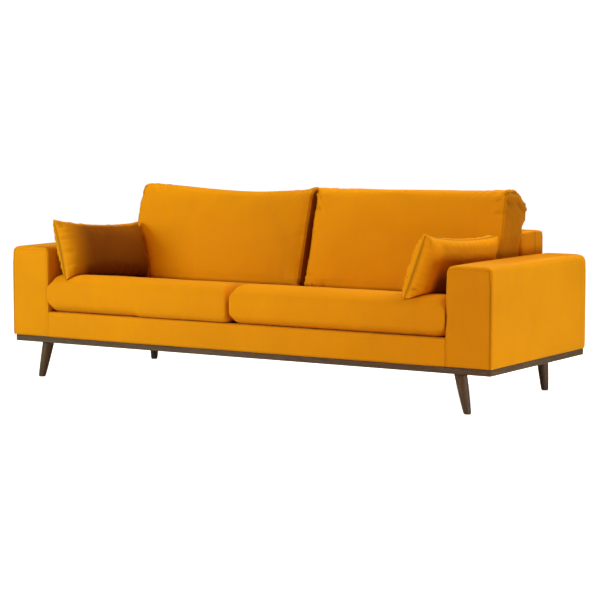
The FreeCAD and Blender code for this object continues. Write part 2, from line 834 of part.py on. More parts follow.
def rounded_back(name, inset):
    """The backrest's outer form, or the same form set inwards by the cover's wall."""
    low_z = BASE_UNDER if inset == "0" else f"{BASE_UNDER} - overshoot"
    body = block_body(
        name,
        (f"{inset} - ( {ARM_INNER} )", f"{ARM_INNER} - {inset}"),
        (f"{BACK_FRONT} + {inset}", f"{HALF_DEPTH} - {inset}"),
        (low_z, f"back_top - {inset}"),
    )
    round_edges(
        body,
        f"back_round - {inset}",
        lambda edge, bounds: above(edge, bounds.ZMax - TOUCH),
    )
    return body


def make_back(bolt_holes):
    """The fixed backrest: timber frame, webbing, foam, and a cover joined at a seam on its ends."""
    frame_front = f"{HALF_DEPTH} - cover_wall - back_frame_depth"
    frame_rear = f"{HALF_DEPTH} - cover_wall"
    frame_reach = f"{ARM_INNER} - cover_wall - side_padding"
    frame_top = "back_top - cover_wall - back_top_foam"
    strap_front = f"{frame_front} - strap_thickness"
    low_rail = (f"{BACK_FRONT} + cover_wall", f"{BACK_FRONT} + cover_wall + rail_thickness")

    post_low = f"{BASE_UNDER} + back_low_rail_height"
    post_high = f"{frame_top} - back_post_width"
    post_spots = (
        (minus(frame_reach), f"back_post_width - ( {frame_reach} )"),
        ("0 - back_post_width / 2", "back_post_width / 2"),
        (f"{frame_reach} - back_post_width", frame_reach),
    )
    posts, feet = [], []
    for number, spot in enumerate(post_spots):
        posts.append(box(f"back_post_{number}", spot, (frame_front, frame_rear), (post_low, post_high)))
        feet.append(box(f"back_foot_{number}", spot, (low_rail[1], frame_front), (BASE_UNDER, post_low)))
    keep(group("back_posts", posts), "back_posts")
    keep(group("back_feet", feet), "back_foot_blocks")
    span = (minus(frame_reach), frame_reach)
    keep(box("back_top_rail", span, (frame_front, frame_rear), (post_high, frame_top)), "back_top_rail")
    keep(box("back_low_rail", span, (frame_front, frame_rear), (BASE_UNDER, post_low)), "back_bottom_rail")
    mount = box("back_mount_blank", span, low_rail, (BASE_UNDER, RAIL_TOP))
    keep(cut("back_mount_rail", mount, bolt_holes), "back_mounting_rail")
    straps = []
    for number in range(STRAP_COUNT):
        level = f"{post_low} + first_strap_rise + {number} * strap_pitch"
        width = (f"{level} - strap_width / 2", f"{level} + strap_width / 2")
        straps.append(box(f"back_strap_{number}", span, (strap_front, frame_front), width))
    keep(group("back_straps", straps), "back_webbing")

    outer = rounded_back("back_outer", "0")
    inner = rounded_back("back_inner", "cover_wall")
    between_arms = (minus(ARM_INNER), ARM_INNER)
    low_bay_z = (f"{BASE_UNDER} - 2 * overshoot", RAIL_TOP)
    low_bay = box("back_low_bay", between_arms, (BACK_FRONT, HALF_DEPTH), low_bay_z)
    frame_bay_z = (f"{BASE_UNDER} - 2 * overshoot", frame_top)
    frame_bay = box("back_frame_bay", between_arms, (strap_front, HALF_DEPTH), frame_bay_z)
    keep(cut("back_foam", inner, group("back_bays", [low_bay, frame_bay])), "back_foam")
    shell = cut("back_shell", outer, group("back_hollow", [inner, bolt_holes]))
    for name, (low, high) in {
        "front": (f"{BACK_FRONT} - overshoot", BACK_SEAM),
        "rear": (BACK_SEAM, f"{HALF_DEPTH} + overshoot"),
    }.items():
        half = box(
            f"back_half_{name}",
            (f"{minus(ARM_INNER)} - overshoot", f"{ARM_INNER} + overshoot"),
            (low, high),
            (f"{BASE_UNDER} - overshoot", "back_top + overshoot"),
        )
        keep(common(f"back_cover_{name}", shell, half), f"back_cover_{name}")

    return [
        through_bolt(
            f"back_{number}", "y", REAR_RAIL_FACE, low_rail[1], 1,
            x=back_bolt_place(number), z=BOLT_LEVEL,
        )
        for number in range(BACK_BOLT_COUNT)
    ]


def make_fasteners(arm_sets, back_sets):
    keep(group("arm_bolts", [bolt for bolt, nut in arm_sets]), "arm_bolts")
    keep(group("arm_nuts", [nut for bolt, nut in arm_sets]), "arm_bolt_nuts")
    keep(group("back_bolts", [bolt for bolt, nut in back_sets]), "back_bolts")
    keep(group("back_nuts", [nut for bolt, nut in back_sets]), "back_bolt_nuts")


def make_seat_cushion(side):
    """A loose seat cushion. The two meet to the left of the middle, so the right one is longer."""
    spans = {
        "left": (f"{minus(ARM_INNER)} + clearance", "0 - seat_split_from_middle - clearance"),
        "right": ("clearance - seat_split_from_middle", f"{ARM_INNER} - clearance"),
    }
    body = block_body(
        f"seat_cushion_{side}",
        spans[side],
        (f"clearance - {HALF_DEPTH}", f"{BACK_FRONT} - clearance"),
        (SEAT_UNDER, SEAT_TOP),
    )
    round_edges(body, "seat_cushion_round", lambda edge, bounds: True)
    keep(body, f"seat_cushion_{side}")


def make_back_cushion(side):
    """A back cushion: its front face leans back, its rear face lies along the backrest.

    The two are equal and pushed up to the right arm, which leaves a gap at the left arm.
    """
    rear = f"{BACK_FRONT} - clearance"
    spans = {
        "left": (
            f"{minus(ARM_INNER)} + back_cushion_free_end + clearance",
            "back_cushion_free_end / 2 - clearance",
        ),
        "right": ("back_cushion_free_end / 2 + clearance", f"{ARM_INNER} - clearance"),
    }
    body = profile_pad(
        f"back_cushion_{side}",
        [
            (BACK_CUSHION_FOOT, LOOSE_UNDER),
            (rear, LOOSE_UNDER),
            (rear, "back_cushion_top"),
            (BACK_CUSHION_BROW, "back_cushion_top"),
        ],
        *spans[side],
    )
    middle = value(f"( {BACK_CUSHION_BROW} + {rear} ) / 2")

    def top_edge(edge, bounds):
        return runs_along(edge, 0) and above(edge, bounds.ZMax - TOUCH)

    round_edges(
        body,
        "back_cushion_rear_round",
        lambda edge, bounds: top_edge(edge, bounds) and edge.CenterOfMass.y > middle,
    )
    round_edges(
        body,
        "back_cushion_front_round",
        lambda edge, bounds: top_edge(edge, bounds) and edge.CenterOfMass.y < middle,
    )
    round_edges(
        body,
        "back_cushion_end_round",
        lambda edge, bounds: min(
            abs(edge.BoundBox.XMax - bounds.XMin), abs(edge.BoundBox.XMin - bounds.XMax)
        ) < TOUCH,
    )
    keep(body, f"back_cushion_{side}")


def lens_prism(name, chord, thickness, length, turned):
    """Two equal arcs back to back, padded to a length about the middle plane."""
    half = value(f"{chord} / 2")
    rise = value(thickness)
    tips = Vector(0, -half, 0), Vector(0, half, 0)
    arcs = [Part.Arc(tips[0], Vector(sign * rise, 0, 0), tips[1]).toShape() for sign in (-1, 1)]
    face = Part.Face(Part.Wire(arcs))
    reach = value(length)
    face.translate(Vector(0, 0, -reach / 2))
    prism = face.extrude(Vector(0, 0, reach))
    if turned:
        prism.rotate(Vector(), Vector(1, 0, 0), 90)
    lens = doc.addObject("Part::Feature", name)
    lens.Shape = prism
    return lens


def make_pillow(side, sign):
    """A lumbar pillow on the seat in front of the back cushions, leaning towards the arm."""
    length = f"( {BACK_CUSHION_FOOT} + {HALF_DEPTH} - pillow_end_room )"
    past_width = "pillow_width + 2 * overshoot"
    rib = lens_prism(f"pillow_rib_{side}", length, "pillow_half", past_width, False)
    past_length = f"{length} + 2 * overshoot"
    band = lens_prism(f"pillow_band_{side}", "pillow_width", "pillow_half", past_length, True)
    pillow = common(f"pillow_{side}", rib, band)
    doc.recompute()
    lean = Rotation(Vector(0, 1, 0), sign * value("pillow_lean"))
    turn = Rotation(Vector(0, 0, 1), -value("pillow_turn"))
    spin = turn.multiply(lean)
    tilted = pillow.Shape.copy()
    tilted.Placement = FreeCAD.Placement(Vector(), spin)
    lift = value(LOOSE_UNDER) - tilted.optimalBoundingBox(True, False).ZMin
    x = sign * value(f"{ARM_INNER} - {side}_pillow_from_arm")
    y = value(f"( {BACK_CUSHION_FOOT} - {HALF_DEPTH} ) / 2")
    pillow.Placement = FreeCAD.Placement(Vector(x, y, lift), spin)
    keep(pillow, f"pillow_{side}")


def check_and_write():
    doc.recompute()
    for thing in doc.Objects:
        if {"Invalid", "Error"} & set(thing.State):
            raise RuntimeError(f"{thing.Label}: {thing.State}")
    labels = [thing.Label for thing in made]
    if len(set(labels)) != len(labels):
        raise RuntimeError("two sub-parts share a name")
    for thing in made:
        if thing.Shape.isNull() or not thing.Shape.isValid():
            raise RuntimeError(f"{thing.Label} has no sound shape")
    os.makedirs("parts", exist_ok=True)
    for thing in made:
        thing.Shape.exportStep(f"parts/{thing.Label}.step")


fill_sheet()
value.scratch = doc.addObject("Part::Box", "Scratch")
make_plinth()
make_legs()
back_holes = make_base()
arm_fasteners = [pair for side, sign in SIDES.items() for pair in make_arm(side, sign)]
back_fasteners = make_back(back_holes)
make_fasteners(arm_fasteners, back_fasteners)
for cushion_side, cushion_sign in SIDES.items():
    make_seat_cushion(cushion_side)
    make_back_cushion(cushion_side)
    make_pillow(cushion_side, cushion_sign)
check_and_write()
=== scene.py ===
import json
import math
from contextlib import contextmanager

import bmesh
import bpy
import numpy as np
from mathutils import Matrix, Vector, noise


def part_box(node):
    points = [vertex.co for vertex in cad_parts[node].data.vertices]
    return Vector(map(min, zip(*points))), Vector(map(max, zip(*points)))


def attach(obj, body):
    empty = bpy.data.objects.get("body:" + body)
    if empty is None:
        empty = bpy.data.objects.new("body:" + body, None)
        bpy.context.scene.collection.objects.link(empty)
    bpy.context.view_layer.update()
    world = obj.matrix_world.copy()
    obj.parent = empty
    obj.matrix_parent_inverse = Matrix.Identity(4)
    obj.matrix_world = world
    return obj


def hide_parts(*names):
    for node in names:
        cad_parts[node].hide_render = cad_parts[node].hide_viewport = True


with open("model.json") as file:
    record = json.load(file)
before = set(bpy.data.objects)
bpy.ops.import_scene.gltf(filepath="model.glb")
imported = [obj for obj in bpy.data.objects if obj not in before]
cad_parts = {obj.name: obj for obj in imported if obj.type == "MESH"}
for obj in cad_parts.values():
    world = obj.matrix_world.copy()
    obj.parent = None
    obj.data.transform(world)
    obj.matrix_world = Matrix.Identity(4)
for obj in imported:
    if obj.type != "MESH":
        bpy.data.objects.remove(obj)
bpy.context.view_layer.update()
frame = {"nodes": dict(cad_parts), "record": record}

# Metres. The sofa's front faces -Y, and +X is to the right of someone who looks at the front.
MM = 0.001
SIDES = {"left": -1, "right": 1}
BODY = "sofa_frame"

# camera
VIEW_TURN = math.radians(32.2)
VIEW_RISE = math.radians(5.34)
VIEW_DISTANCE = 8.4547
VIEW_TARGET = Vector((0.0309, 0.0194, 0.3503))
LENS_MM = 121.5
SENSOR_MM = 36.0

# cloth cells and the simulation
COVER_CELL = 14 * MM
CUSHION_CELL = 12 * MM
PILLOW_CELL = 6.5 * MM
SIM_FRAMES = 16

# painted light and shade on the velvet, with a little tone from the way its pile lies: above 0 lightens a
# face, below 0 darkens it
NAP_AND_PAINTED_SHADE = {
    "arm inside": -0.16,
    "right arm front": -0.12,
    "backrest end": -0.28,
    "front panel, right": -0.07,
    "seat top": -0.28,
    "seat, right": -0.07,
    "back left": (0.10, -0.12),
    "back right": (0.03, -0.05),
    "back gusset": 0.45,
    "back left, inner gusset": 0.2,
    "left pillow, away": -0.82,
    "right pillow": 0.08,
    "right pillow, behind": -0.36,
    "right pillow, in the gap": -0.5,
}

SEAM_WIDTH = 2.6 * MM
SEAM_LINES = (-5 * MM, 0.0, 5 * MM)
EDGE = 1e-6


# ---------------------------------------------------------------- shader helpers


def link_or_set(tree, node, values):
    for key, value in (values or {}).items():
        socket = node.inputs[key]
        if isinstance(value, bpy.types.NodeSocket):
            tree.links.new(value, socket)
        else:
            socket.default_value = value


def add(tree, kind, values=None, **settings):
    """A new node: settings are its properties, values its inputs, each a number or a socket to link."""
    made = tree.nodes.new(kind)
    for key, setting in settings.items():
        setattr(made, key, setting)
    link_or_set(tree, made, values)
    return made


def sums(tree, operation, first, second=0.0):
    return add(tree, "ShaderNodeMath", {0: first, 1: second}, operation=operation).outputs[0]


def weigh(tree, *pairs):
    """The sum of several values, each times its weight."""
    total = 0.0
    for value, weight in pairs:
        step = add(tree, "ShaderNodeMath", {0: value, 1: weight, 2: total}, operation="MULTIPLY_ADD")
        total = step.outputs[0]
    return total


def spread(tree, value, low, high, to_low=0.0, to_high=1.0):
    """Maps low..high to to_low..to_high, and holds it there."""
    values = {"Value": value, "From Min": low, "From Max": high, "To Min": to_low, "To Max": to_high}
    return add(tree, "ShaderNodeMapRange", values).outputs["Result"]


def blend_colours(tree, factor, first, second, blend_type="MIX"):
    mix = add(tree, "ShaderNodeMix", None, data_type="RGBA", blend_type=blend_type)
    link_or_set(tree, mix, {0: factor, 6: first, 7: second})
    return mix.outputs[2]


def stretched(tree, vector, scale, turn=(0.0, 0.0, 0.0)):
    return add(tree, "ShaderNodeMapping", {"Vector": vector, "Scale": scale, "Rotation": turn}).outputs[0]


def noise_at(tree, vector, scale, detail=2.0, roughness=0.5, distortion=0.0):
    values = {
        "Vector": vector,
        "Scale": scale,
        "Detail": detail,
        "Roughness": roughness,
        "Distortion": distortion,
    }
    return add(tree, "ShaderNodeTexNoise", values).outputs["Fac"]


SOCKETS = {
    "number": "NodeSocketFloat",
    "count": "NodeSocketInt",
    "colour": "NodeSocketColor",
    "vector": "NodeSocketVector",
    "geometry": "NodeSocketGeometry",
    "material": "NodeSocketMaterial",
}


def new_group(name, inputs, outputs, tree_kind="ShaderNodeTree"):
    """An empty node group with named sockets. Returns the tree, its inputs and its output node."""
    tree = bpy.data.node_groups.new(name, tree_kind)
    for label, (kind, start) in inputs.items():
        socket = tree.interface.new_socket(name=label, in_out="INPUT", socket_type=SOCKETS[kind])
        if start is not None:
            socket.default_value = start
    for label, kind in outputs.items():
        tree.interface.new_socket(name=label, in_out="OUTPUT", socket_type=SOCKETS[kind])
    return tree, tree.nodes.new("NodeGroupInput").outputs, tree.nodes.new("NodeGroupOutput")


def use_group(tree, group, values):
    return add(tree, "ShaderNodeGroup", values, node_tree=group).outputs


def new_material(name):
    """A material with one Principled shader. Returns it, its tree, the shader and Object coordinates."""
    material = bpy.data.materials.new(name)
    material.use_nodes = True
    tree = material.node_tree
    tree.nodes.clear()
    shader = tree.nodes.new("ShaderNodeBsdfPrincipled")
    out = tree.nodes.new("ShaderNodeOutputMaterial")
    tree.links.new(shader.outputs[0], out.inputs["Surface"])
    place = tree.nodes.new("ShaderNodeTexCoord").outputs["Object"]
    return material, tree, shader, place


def bump(tree, shader, height, distance, strength=1.0):
    values = {"Height": height, "Distance": distance, "Strength": strength}
    normal = add(tree, "ShaderNodeBump", values).outputs["Normal"]
    tree.links.new(normal, shader.inputs["Normal"])


# ---------------------------------------------------------------- shared effects


def pile_effect():
    """Cut pile: brushed patches where the pile lies another way, fine streaks, and the tufts. Two per-point
    inputs add painted light and shade, and dark seams with painted shade.
    """
    tree, start, end = new_group(
        "pile",
        {
            "Vector": ("vector", None),
            "Lit": ("colour", (1, 1, 1, 1)),
            "Deep": ("colour", (0, 0, 0, 1)),
            "Patch Size": ("number", 0.3),
            "Patch Strength": ("number", 0.5),
            "Tuft Size": ("number", 0.001),
            "Nap And Shade": ("number", 0.0),
            "Seam": ("number", 0.0),
        },
        {"Color": "colour", "Height": "number", "Roughness": "number"},
    )
    place = start["Vector"]
    per_patch = sums(tree, "DIVIDE", 1.0, start["Patch Size"])
    per_tuft = sums(tree, "DIVIDE", 1.0, start["Tuft Size"])
    patches = noise_at(tree, place, per_patch, 3.0, 0.55, 0.6)
    combed = stretched(tree, place, (1.0, 1.0, 0.28), (0.0, 0.25, 0.4))
    streaks = noise_at(tree, combed, sums(tree, "MULTIPLY", per_patch, 9.0), 4.0, 0.6, 0.4)
    tufts = noise_at(tree, place, per_tuft, 2.0, 0.7)
    fluff = noise_at(tree, place, sums(tree, "MULTIPLY", per_tuft, 0.22), 3.0, 0.6)

    brushed = weigh(
        tree,
        (spread(tree, patches, 0.3, 0.7), 0.62),
        (spread(tree, streaks, 0.3, 0.7), 0.22),
        (spread(tree, tufts, 0.35, 0.65), 0.16),
    )
    shade = sums(tree, "MULTIPLY", sums(tree, "SUBTRACT", 1.0, brushed), start["Patch Strength"])
    # painted light and shade: the per-point input lifts a face toward the lit colour above 0 and sinks it
    # toward the deep colour below 0
    lit = sums(tree, "ADD", sums(tree, "SUBTRACT", 1.0, shade), start["Nap And Shade"])
    colour = blend_colours(tree, spread(tree, lit, 0.0, 1.0), start["Deep"], start["Lit"])
    # dark seam lines, plus painted shade in creases and on shadowed faces
    colour = blend_colours(tree, start["Seam"], colour, (0.11, 0.10, 0.08, 1), "MULTIPLY")
    height = weigh(tree, (tufts, 1.0), (fluff, 0.8))
    roughness = spread(tree, streaks, 0.3, 0.7, 0.74, 0.9)
    link_or_set(tree, end, {"Color": colour, "Height": height, "Roughness": roughness})
    return tree


def grain_effect():
    """Wood grain running along the vector's X: long pores, broad figure and growth bands."""
    tree, start, end = new_group(
        "grain",
        {
            "Vector": ("vector", None),
            "Light": ("colour", (1, 1, 1, 1)),
            "Dark": ("colour", (0, 0, 0, 1)),
            "Band Size": ("number", 0.02),
        },
        {"Color": "colour", "Height": "number", "Roughness": "number"},
    )
    per_band = sums(tree, "DIVIDE", 1.0, start["Band Size"])
    drawn_out = stretched(tree, start["Vector"], (0.05, 1.0, 1.0))
    hair_thin = stretched(tree, start["Vector"], (0.03, 1.0, 1.0))
    figure = noise_at(tree, drawn_out, per_band, 4.0, 0.6, 1.6)
    bands = sums(tree, "SINE", sums(tree, "MULTIPLY", figure, 38.0))
    pores = noise_at(tree, hair_thin, sums(tree, "MULTIPLY", per_band, 26.0), 3.0, 0.65)
    open_pores = spread(tree, pores, 0.36, 0.46)
    banded = spread(tree, bands, -1.0, 1.0)
    figured = spread(tree, figure, 0.3, 0.7)
    mask = weigh(tree, (banded, 0.45), (figured, 0.4), (1.0, 0.15))
    mask = sums(tree, "MULTIPLY", mask, open_pores)
    colour = blend_colours(tree, mask, start["Dark"], start["Light"])
    roughness = spread(tree, mask, 0.0, 1.0, 0.62, 0.42)
    link_or_set(tree, end, {"Color": colour, "Height": open_pores, "Roughness": roughness})
    return tree


def weave_effect():
    """Plain weave: two crossing sets of threads."""
    tree, start, end = new_group(
        "weave",
        {"Vector": ("vector", None), "Thread": ("number", 0.001), "Thread Colour": ("colour", (1, 1, 1, 1))},
        {"Color": "colour", "Height": "number"},
    )
    place = add(tree, "ShaderNodeSeparateXYZ", {0: start["Vector"]}).outputs
    turns = sums(tree, "DIVIDE", math.pi, start["Thread"])
    along = sums(tree, "SINE", sums(tree, "MULTIPLY", place[0], turns))
    across = sums(tree, "SINE", sums(tree, "MULTIPLY", sums(tree, "ADD", place[1], place[2]), turns))
    height = sums(tree, "MULTIPLY", along, across)
    slubs = noise_at(tree, start["Vector"], 60.0, 3.0)
    # painted shade: darker in the hollows between the threads, with a little random unevenness
    hollows = spread(tree, height, -1.0, 1.0, 0.72, 1.0)
    uneven = spread(tree, slubs, 0.3, 0.7, -1.0, 1.0)
    shade = weigh(tree, (hollows, 1.0), (uneven, 0.1))
    grey = add(tree, "ShaderNodeCombineColor", {0: shade, 1: shade, 2: shade}).outputs[0]
    colour = blend_colours(tree, 1.0, start["Thread Colour"], grey, "MULTIPLY")
    link_or_set(tree, end, {"Color": colour, "Height": height})
    return tree


PILE = pile_effect()
GRAIN = grain_effect()
WEAVE = weave_effect()


# ---------------------------------------------------------------- finishes


def mustard_velvet():
    material, tree, shader, place = new_material("mustard velvet")
    # mesh attributes: dark seam lines with painted shade in creases and shadowed parts, and painted light and
    # shade with a little tone from the pile's lie
    seam = add(tree, "ShaderNodeAttribute", None, attribute_name="seam").outputs["Fac"]
    nap_and_shade = add(tree, "ShaderNodeAttribute", None, attribute_name="nap_and_shade").outputs["Fac"]
    pile = use_group(
        tree, PILE,
        {
            "Vector": place,
            # the deep colour is a shaded copy of the velvet: random patches lean toward it, and painted shade
            # pulls further
            "Lit": (0.80, 0.310, 0.002, 1),
            "Deep": (0.20, 0.050, 0.0003, 1),
            "Patch Size": 0.34,
            "Patch Strength": 0.17,
            "Tuft Size": 0.0013,
            "Nap And Shade": nap_and_shade,
            "Seam": seam,
        },
    )
    link_or_set(
        tree, shader,
        {
            "Base Color": pile["Color"],
            "Roughness": pile["Roughness"],
            "Specular IOR Level": 0.10,
            "Sheen Weight": 0.40,
            "Sheen Roughness": 0.30,
            "Sheen Tint": (1.0, 0.62, 0.08, 1),
        },
    )
    bump(tree, shader, pile["Height"], 0.0006, 0.5)
    return material


def wood(name, light, dark, along, turn=0.0, band=0.016, coat=0.04):
    """Wood with its grain along X, Y or Z, turned by an angle about Y for a leaning leg."""
    material, tree, shader, place = new_material(name)
    turns = {"X": (0, 0, 0), "Y": (0, 0, math.pi / 2), "Z": (0, math.pi / 2 + turn, 0)}
    lined = stretched(tree, place, (1, 1, 1), turns[along])
    grain = use_group(tree, GRAIN, {"Vector": lined, "Light": light, "Dark": dark, "Band Size": band})
    link_or_set(tree, shader, {"Base Color": grain["Color"], "Roughness": grain["Roughness"]})
    link_or_set(tree, shader, {"Coat Weight": coat, "Coat Roughness": 0.4, "Specular IOR Level": 0.25})
    bump(tree, shader, grain["Height"], 0.0003, 0.35)
    return material


WALNUT_LIGHT = (0.146, 0.082, 0.045, 1)
WALNUT_DARK = (0.044, 0.025, 0.014, 1)
PINE_LIGHT = (0.72, 0.52, 0.30, 1)
PINE_DARK = (0.47, 0.29, 0.14, 1)


def woven_cloth(name, colour, thread, roughness=0.9):
    material, tree, shader, place = new_material(name)
    weave = use_group(tree, WEAVE, {"Vector": place, "Thread": thread, "Thread Colour": colour})
    looks = {"Base Color": weave["Color"], "Roughness": roughness, "Specular IOR Level": 0.2}
    link_or_set(tree, shader, looks)
    bump(tree, shader, weave["Height"], 0.0003, 0.6)
    return material


def soft_stuff(name, light, dark, grain_size, depth):
    """Foam or felt: a mottled colour and a fine open surface."""
    material, tree, shader, place = new_material(name)
    mottle = noise_at(tree, place, 14.0, 3.0)
    cells = noise_at(tree, place, 1.0 / grain_size, 3.0, 0.7)
    both = spread(tree, weigh(tree, (mottle, 0.6), (cells, 0.4)), 0.35, 0.65)
    colour = blend_colours(tree, both, dark, light)
    link_or_set(tree, shader, {"Base Color": colour, "Roughness": 0.95, "Specular IOR Level": 0.15})
    bump(tree, shader, cells, depth, 0.8)
    return material


def plated_steel():
    material, tree, shader, place = new_material("zinc plated steel")
    spangle = noise_at(tree, place, 90.0, 4.0, 0.6)
    patchy = spread(tree, spangle, 0.3, 0.7)
    colour = blend_colours(tree, patchy, (0.42, 0.42, 0.44, 1), (0.62, 0.62, 0.63, 1))
    roughness = spread(tree, spangle, 0.3, 0.7, 0.28, 0.46)
    link_or_set(tree, shader, {"Base Color": colour, "Roughness": roughness, "Metallic": 1.0})
    bump(tree, shader, spangle, 0.0001, 0.4)
    return material


VELVET = mustard_velvet()
CAMBRIC = woven_cloth("black cambric", (0.022, 0.022, 0.024, 1), 0.0016)
STEEL = plated_steel()
FINISHES = {
    "walnut_wood": wood("walnut rails", WALNUT_LIGHT, WALNUT_DARK, "X"),
    "frame_timber": wood("pine frame", PINE_LIGHT, PINE_DARK, "X", band=0.03, coat=0.0),
    "mustard_velvet": VELVET,
    "foam": soft_stuff("cream foam", (0.86, 0.82, 0.66, 1), (0.74, 0.68, 0.50, 1), 0.0016, 0.0006),
    "lining_cloth": CAMBRIC,
    "felt": soft_stuff("grey felt", (0.16, 0.15, 0.14, 1), (0.07, 0.065, 0.06, 1), 0.0012, 0.0005),
    "webbing": woven_cloth("black webbing", (0.06, 0.06, 0.065, 1), 0.003),
    "steel": STEEL,
}


# ---------------------------------------------------------------- mesh helpers


def marks(low, high, cell, fine=()):
    """Grid lines from low to high about a cell apart, with the fine ones among them."""
    count = max(1, round((high - low) / cell))
    even = [low + (high - low) * step / count for step in range(1, count)]
    kept = [mark for mark in even if all(abs(mark - line) > 0.3 * cell for line in fine)]
    return sorted([low, high, *kept, *fine])


def in_from_both(low, high, *insets):
    return [low + inset for inset in insets] + [high - inset for inset in insets]


def grid_box(xs, ys, zs):
    """Points and four-sided faces of a box's skin, with a line at every mark; the faces point out."""
    index, points, faces = {}, [], []

    def point(i, j, k):
        if (i, j, k) not in index:
            index[i, j, k] = len(points)
            points.append((xs[i], ys[j], zs[k]))
        return index[i, j, k]

    nx, ny, nz = len(xs) - 1, len(ys) - 1, len(zs) - 1
    for i in range(nx):
        for j in range(ny):
            faces.append([point(i, j, 0), point(i, j + 1, 0), point(i + 1, j + 1, 0), point(i + 1, j, 0)])
            faces.append([point(i, j, nz), point(i + 1, j, nz), point(i + 1, j + 1, nz), point(i, j + 1, nz)])
        for k in range(nz):
            faces.append([point(i, 0, k), point(i + 1, 0, k), point(i + 1, 0, k + 1), point(i, 0, k + 1)])
            faces.append([point(i, ny, k), point(i, ny, k + 1), point(i + 1, ny, k + 1), point(i + 1, ny, k)])
    for j in range(ny):
        for k in range(nz):
            faces.append([point(0, j, k), point(0, j, k + 1), point(0, j + 1, k + 1), point(0, j + 1, k)])
            faces.append([point(nx, j, k), point(nx, j + 1, k), point(nx, j + 1, k + 1), point(nx, j, k + 1)])
    return np.array(points), faces


def lofted(rings, around):
    """Faces of a closed tube through rings of points, with a cap on each end."""
    faces = []
    for ring in range(rings - 1):
        for step in range(around):
            a, b, nxt = ring * around, (ring + 1) * around, (step + 1) % around
            faces.append([a + step, a + nxt, b + nxt, b + step])
    faces.append(list(reversed(range(around))))
    faces.append([(rings - 1) * around + step for step in range(around)])
    return faces


def round_off(points, low, high, radii):
    """Rounds the edges of a box's skin. radii holds an X, Y and Z radius, for all points or for each."""
    radii = np.broadcast_to(np.array(radii, dtype=float), points.shape)
    centre = np.clip(points, low + radii, high - radii)
    reach = (points - centre) / radii
    length = np.maximum(np.linalg.norm(reach, axis=1, keepdims=True), 1e-9)
    longest = np.abs(reach).max(axis=1, keepdims=True)
    return centre + radii * reach * longest / length


def add_object(name, data):
    made = bpy.data.objects.new(name, data)
    bpy.context.scene.collection.objects.link(made)
    return made


def new_piece(name, points, faces, material):
    mesh = bpy.data.meshes.new(name)
    mesh.from_pydata([tuple(p) for p in points], [], faces)
    mesh.polygons.foreach_set("use_smooth", [True] * len(mesh.polygons))
    mesh.materials.append(material)
    return add_object(name, mesh)


def read_vectors(items, field):
    flat = np.empty(len(items) * 3)
    items.foreach_get(field, flat)
    return flat.reshape(-1, 3)


def get_points(piece):
    return read_vectors(piece.data.vertices, "co")


def set_points(piece, points):
    piece.data.vertices.foreach_set("co", np.ascontiguousarray(points).ravel())
    piece.data.update()


def set_attribute(piece, name, values):
    attribute = piece.data.attributes.get(name) or piece.data.attributes.new(name, "FLOAT", "POINT")
    attribute.data.foreach_set("value", np.ascontiguousarray(values, dtype=np.float32))


def push(piece, amount):
    """Moves each point along its normal."""
    normals = read_vectors(piece.data.vertices, "normal")
    set_points(piece, get_points(piece) + normals * np.asarray(amount)[:, None])


@contextmanager
def opened(source, result=None):
    """A mesh opened for editing. The outcome goes to the result, or back to the source."""
    mesh = bmesh.new()
    mesh.from_mesh(source)
    yield mesh
    mesh.to_mesh(source if result is None else result)
    mesh.free()


def subdivide(piece, levels=1):
    modifier = piece.modifiers.new("Smooth", "SUBSURF")
    modifier.levels = levels
    modifier.render_levels = levels


def refine(piece, *fields):
    """Smooths a piece into a finer mesh. Returns the fields, one number per point, for the new points."""
    names = [f"carried_{number}" for number in range(len(fields))]
    for name, field in zip(names, fields):
        set_attribute(piece, name, field)
    subdivide(piece)
    graph = bpy.context.evaluated_depsgraph_get()
    mesh = bpy.data.meshes.new_from_object(piece.evaluated_get(graph))
    piece.modifiers.clear()
    piece.data = mesh
    finer = []
    for name in names:
        values = np.empty(len(mesh.vertices))
        mesh.attributes[name].data.foreach_get("value", values)
        mesh.attributes.remove(mesh.attributes[name])
        finer.append(values)
    return finer


def ease(value, low, high):
    """0 up to low, 1 from high on, and a smooth rise between."""
    t = np.clip((value - low) / (high - low), 0.0, 1.0)
    return t * t * (3 - 2 * t)


def hump(value, low, high):
    """0 at low and high, 1 in the middle."""
    t = np.clip((value - low) / (high - low), 0.0, 1.0)
    return 4 * t * (1 - t)


def bell(value, width):
    return np.exp(-((value / width) ** 2))


def rumple(points, size, seed):
    """Smooth noise from -1 to 1 over the points; size is that of its features."""
    shift = Vector((seed * 7.31, seed * 3.17, seed * 5.71))
    scale = 1.0 / np.broadcast_to(np.array(size, dtype=float), 3)
    return np.array([noise.noise(Vector(p) + shift) for p in points * scale])


def gathers(along, distance, pitch, reach, seed):
    """Little folds that run away from a seam and die out with distance; pitch is their spacing."""
    spots = np.stack([along, distance * 0.2, np.full_like(along, seed)], axis=1)
    return 2 * rumple(spots, (pitch, pitch, 1.0), seed) * np.exp(-np.abs(distance) / reach)


def groove(distance):
    """A seam's cross-section: a narrow valley between two low swellings."""
    return -bell(distance, SEAM_WIDTH) + 0.3 * bell(np.abs(distance) - 2.4 * SEAM_WIDTH, 1.5 * SEAM_WIDTH)


def soft_limit(value, limit, give, side=1):
    """Holds values on one side of a plane, easing in over a distance, as stuffing does on a board."""
    excess = (value - (limit - side * give)) * side
    eased = limit - side * give * np.exp(-np.maximum(excess, 0) / give)
    return np.where(excess > 0, eased, value)


def node_span(*names):
    """The box round some CAD nodes, as two arrays."""
    boxes = [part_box(name) for name in names]
    low = np.min([list(box[0]) for box in boxes], axis=0)
    high = np.max([list(box[1]) for box in boxes], axis=0)
    return low, high


def upholster(piece, body, nodes):
    """Says what body a padded velvet piece rides on and which nodes it stands for."""
    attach(piece, body)
    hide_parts(*nodes)


# ---------------------------------------------------------------- upholstery over the frame

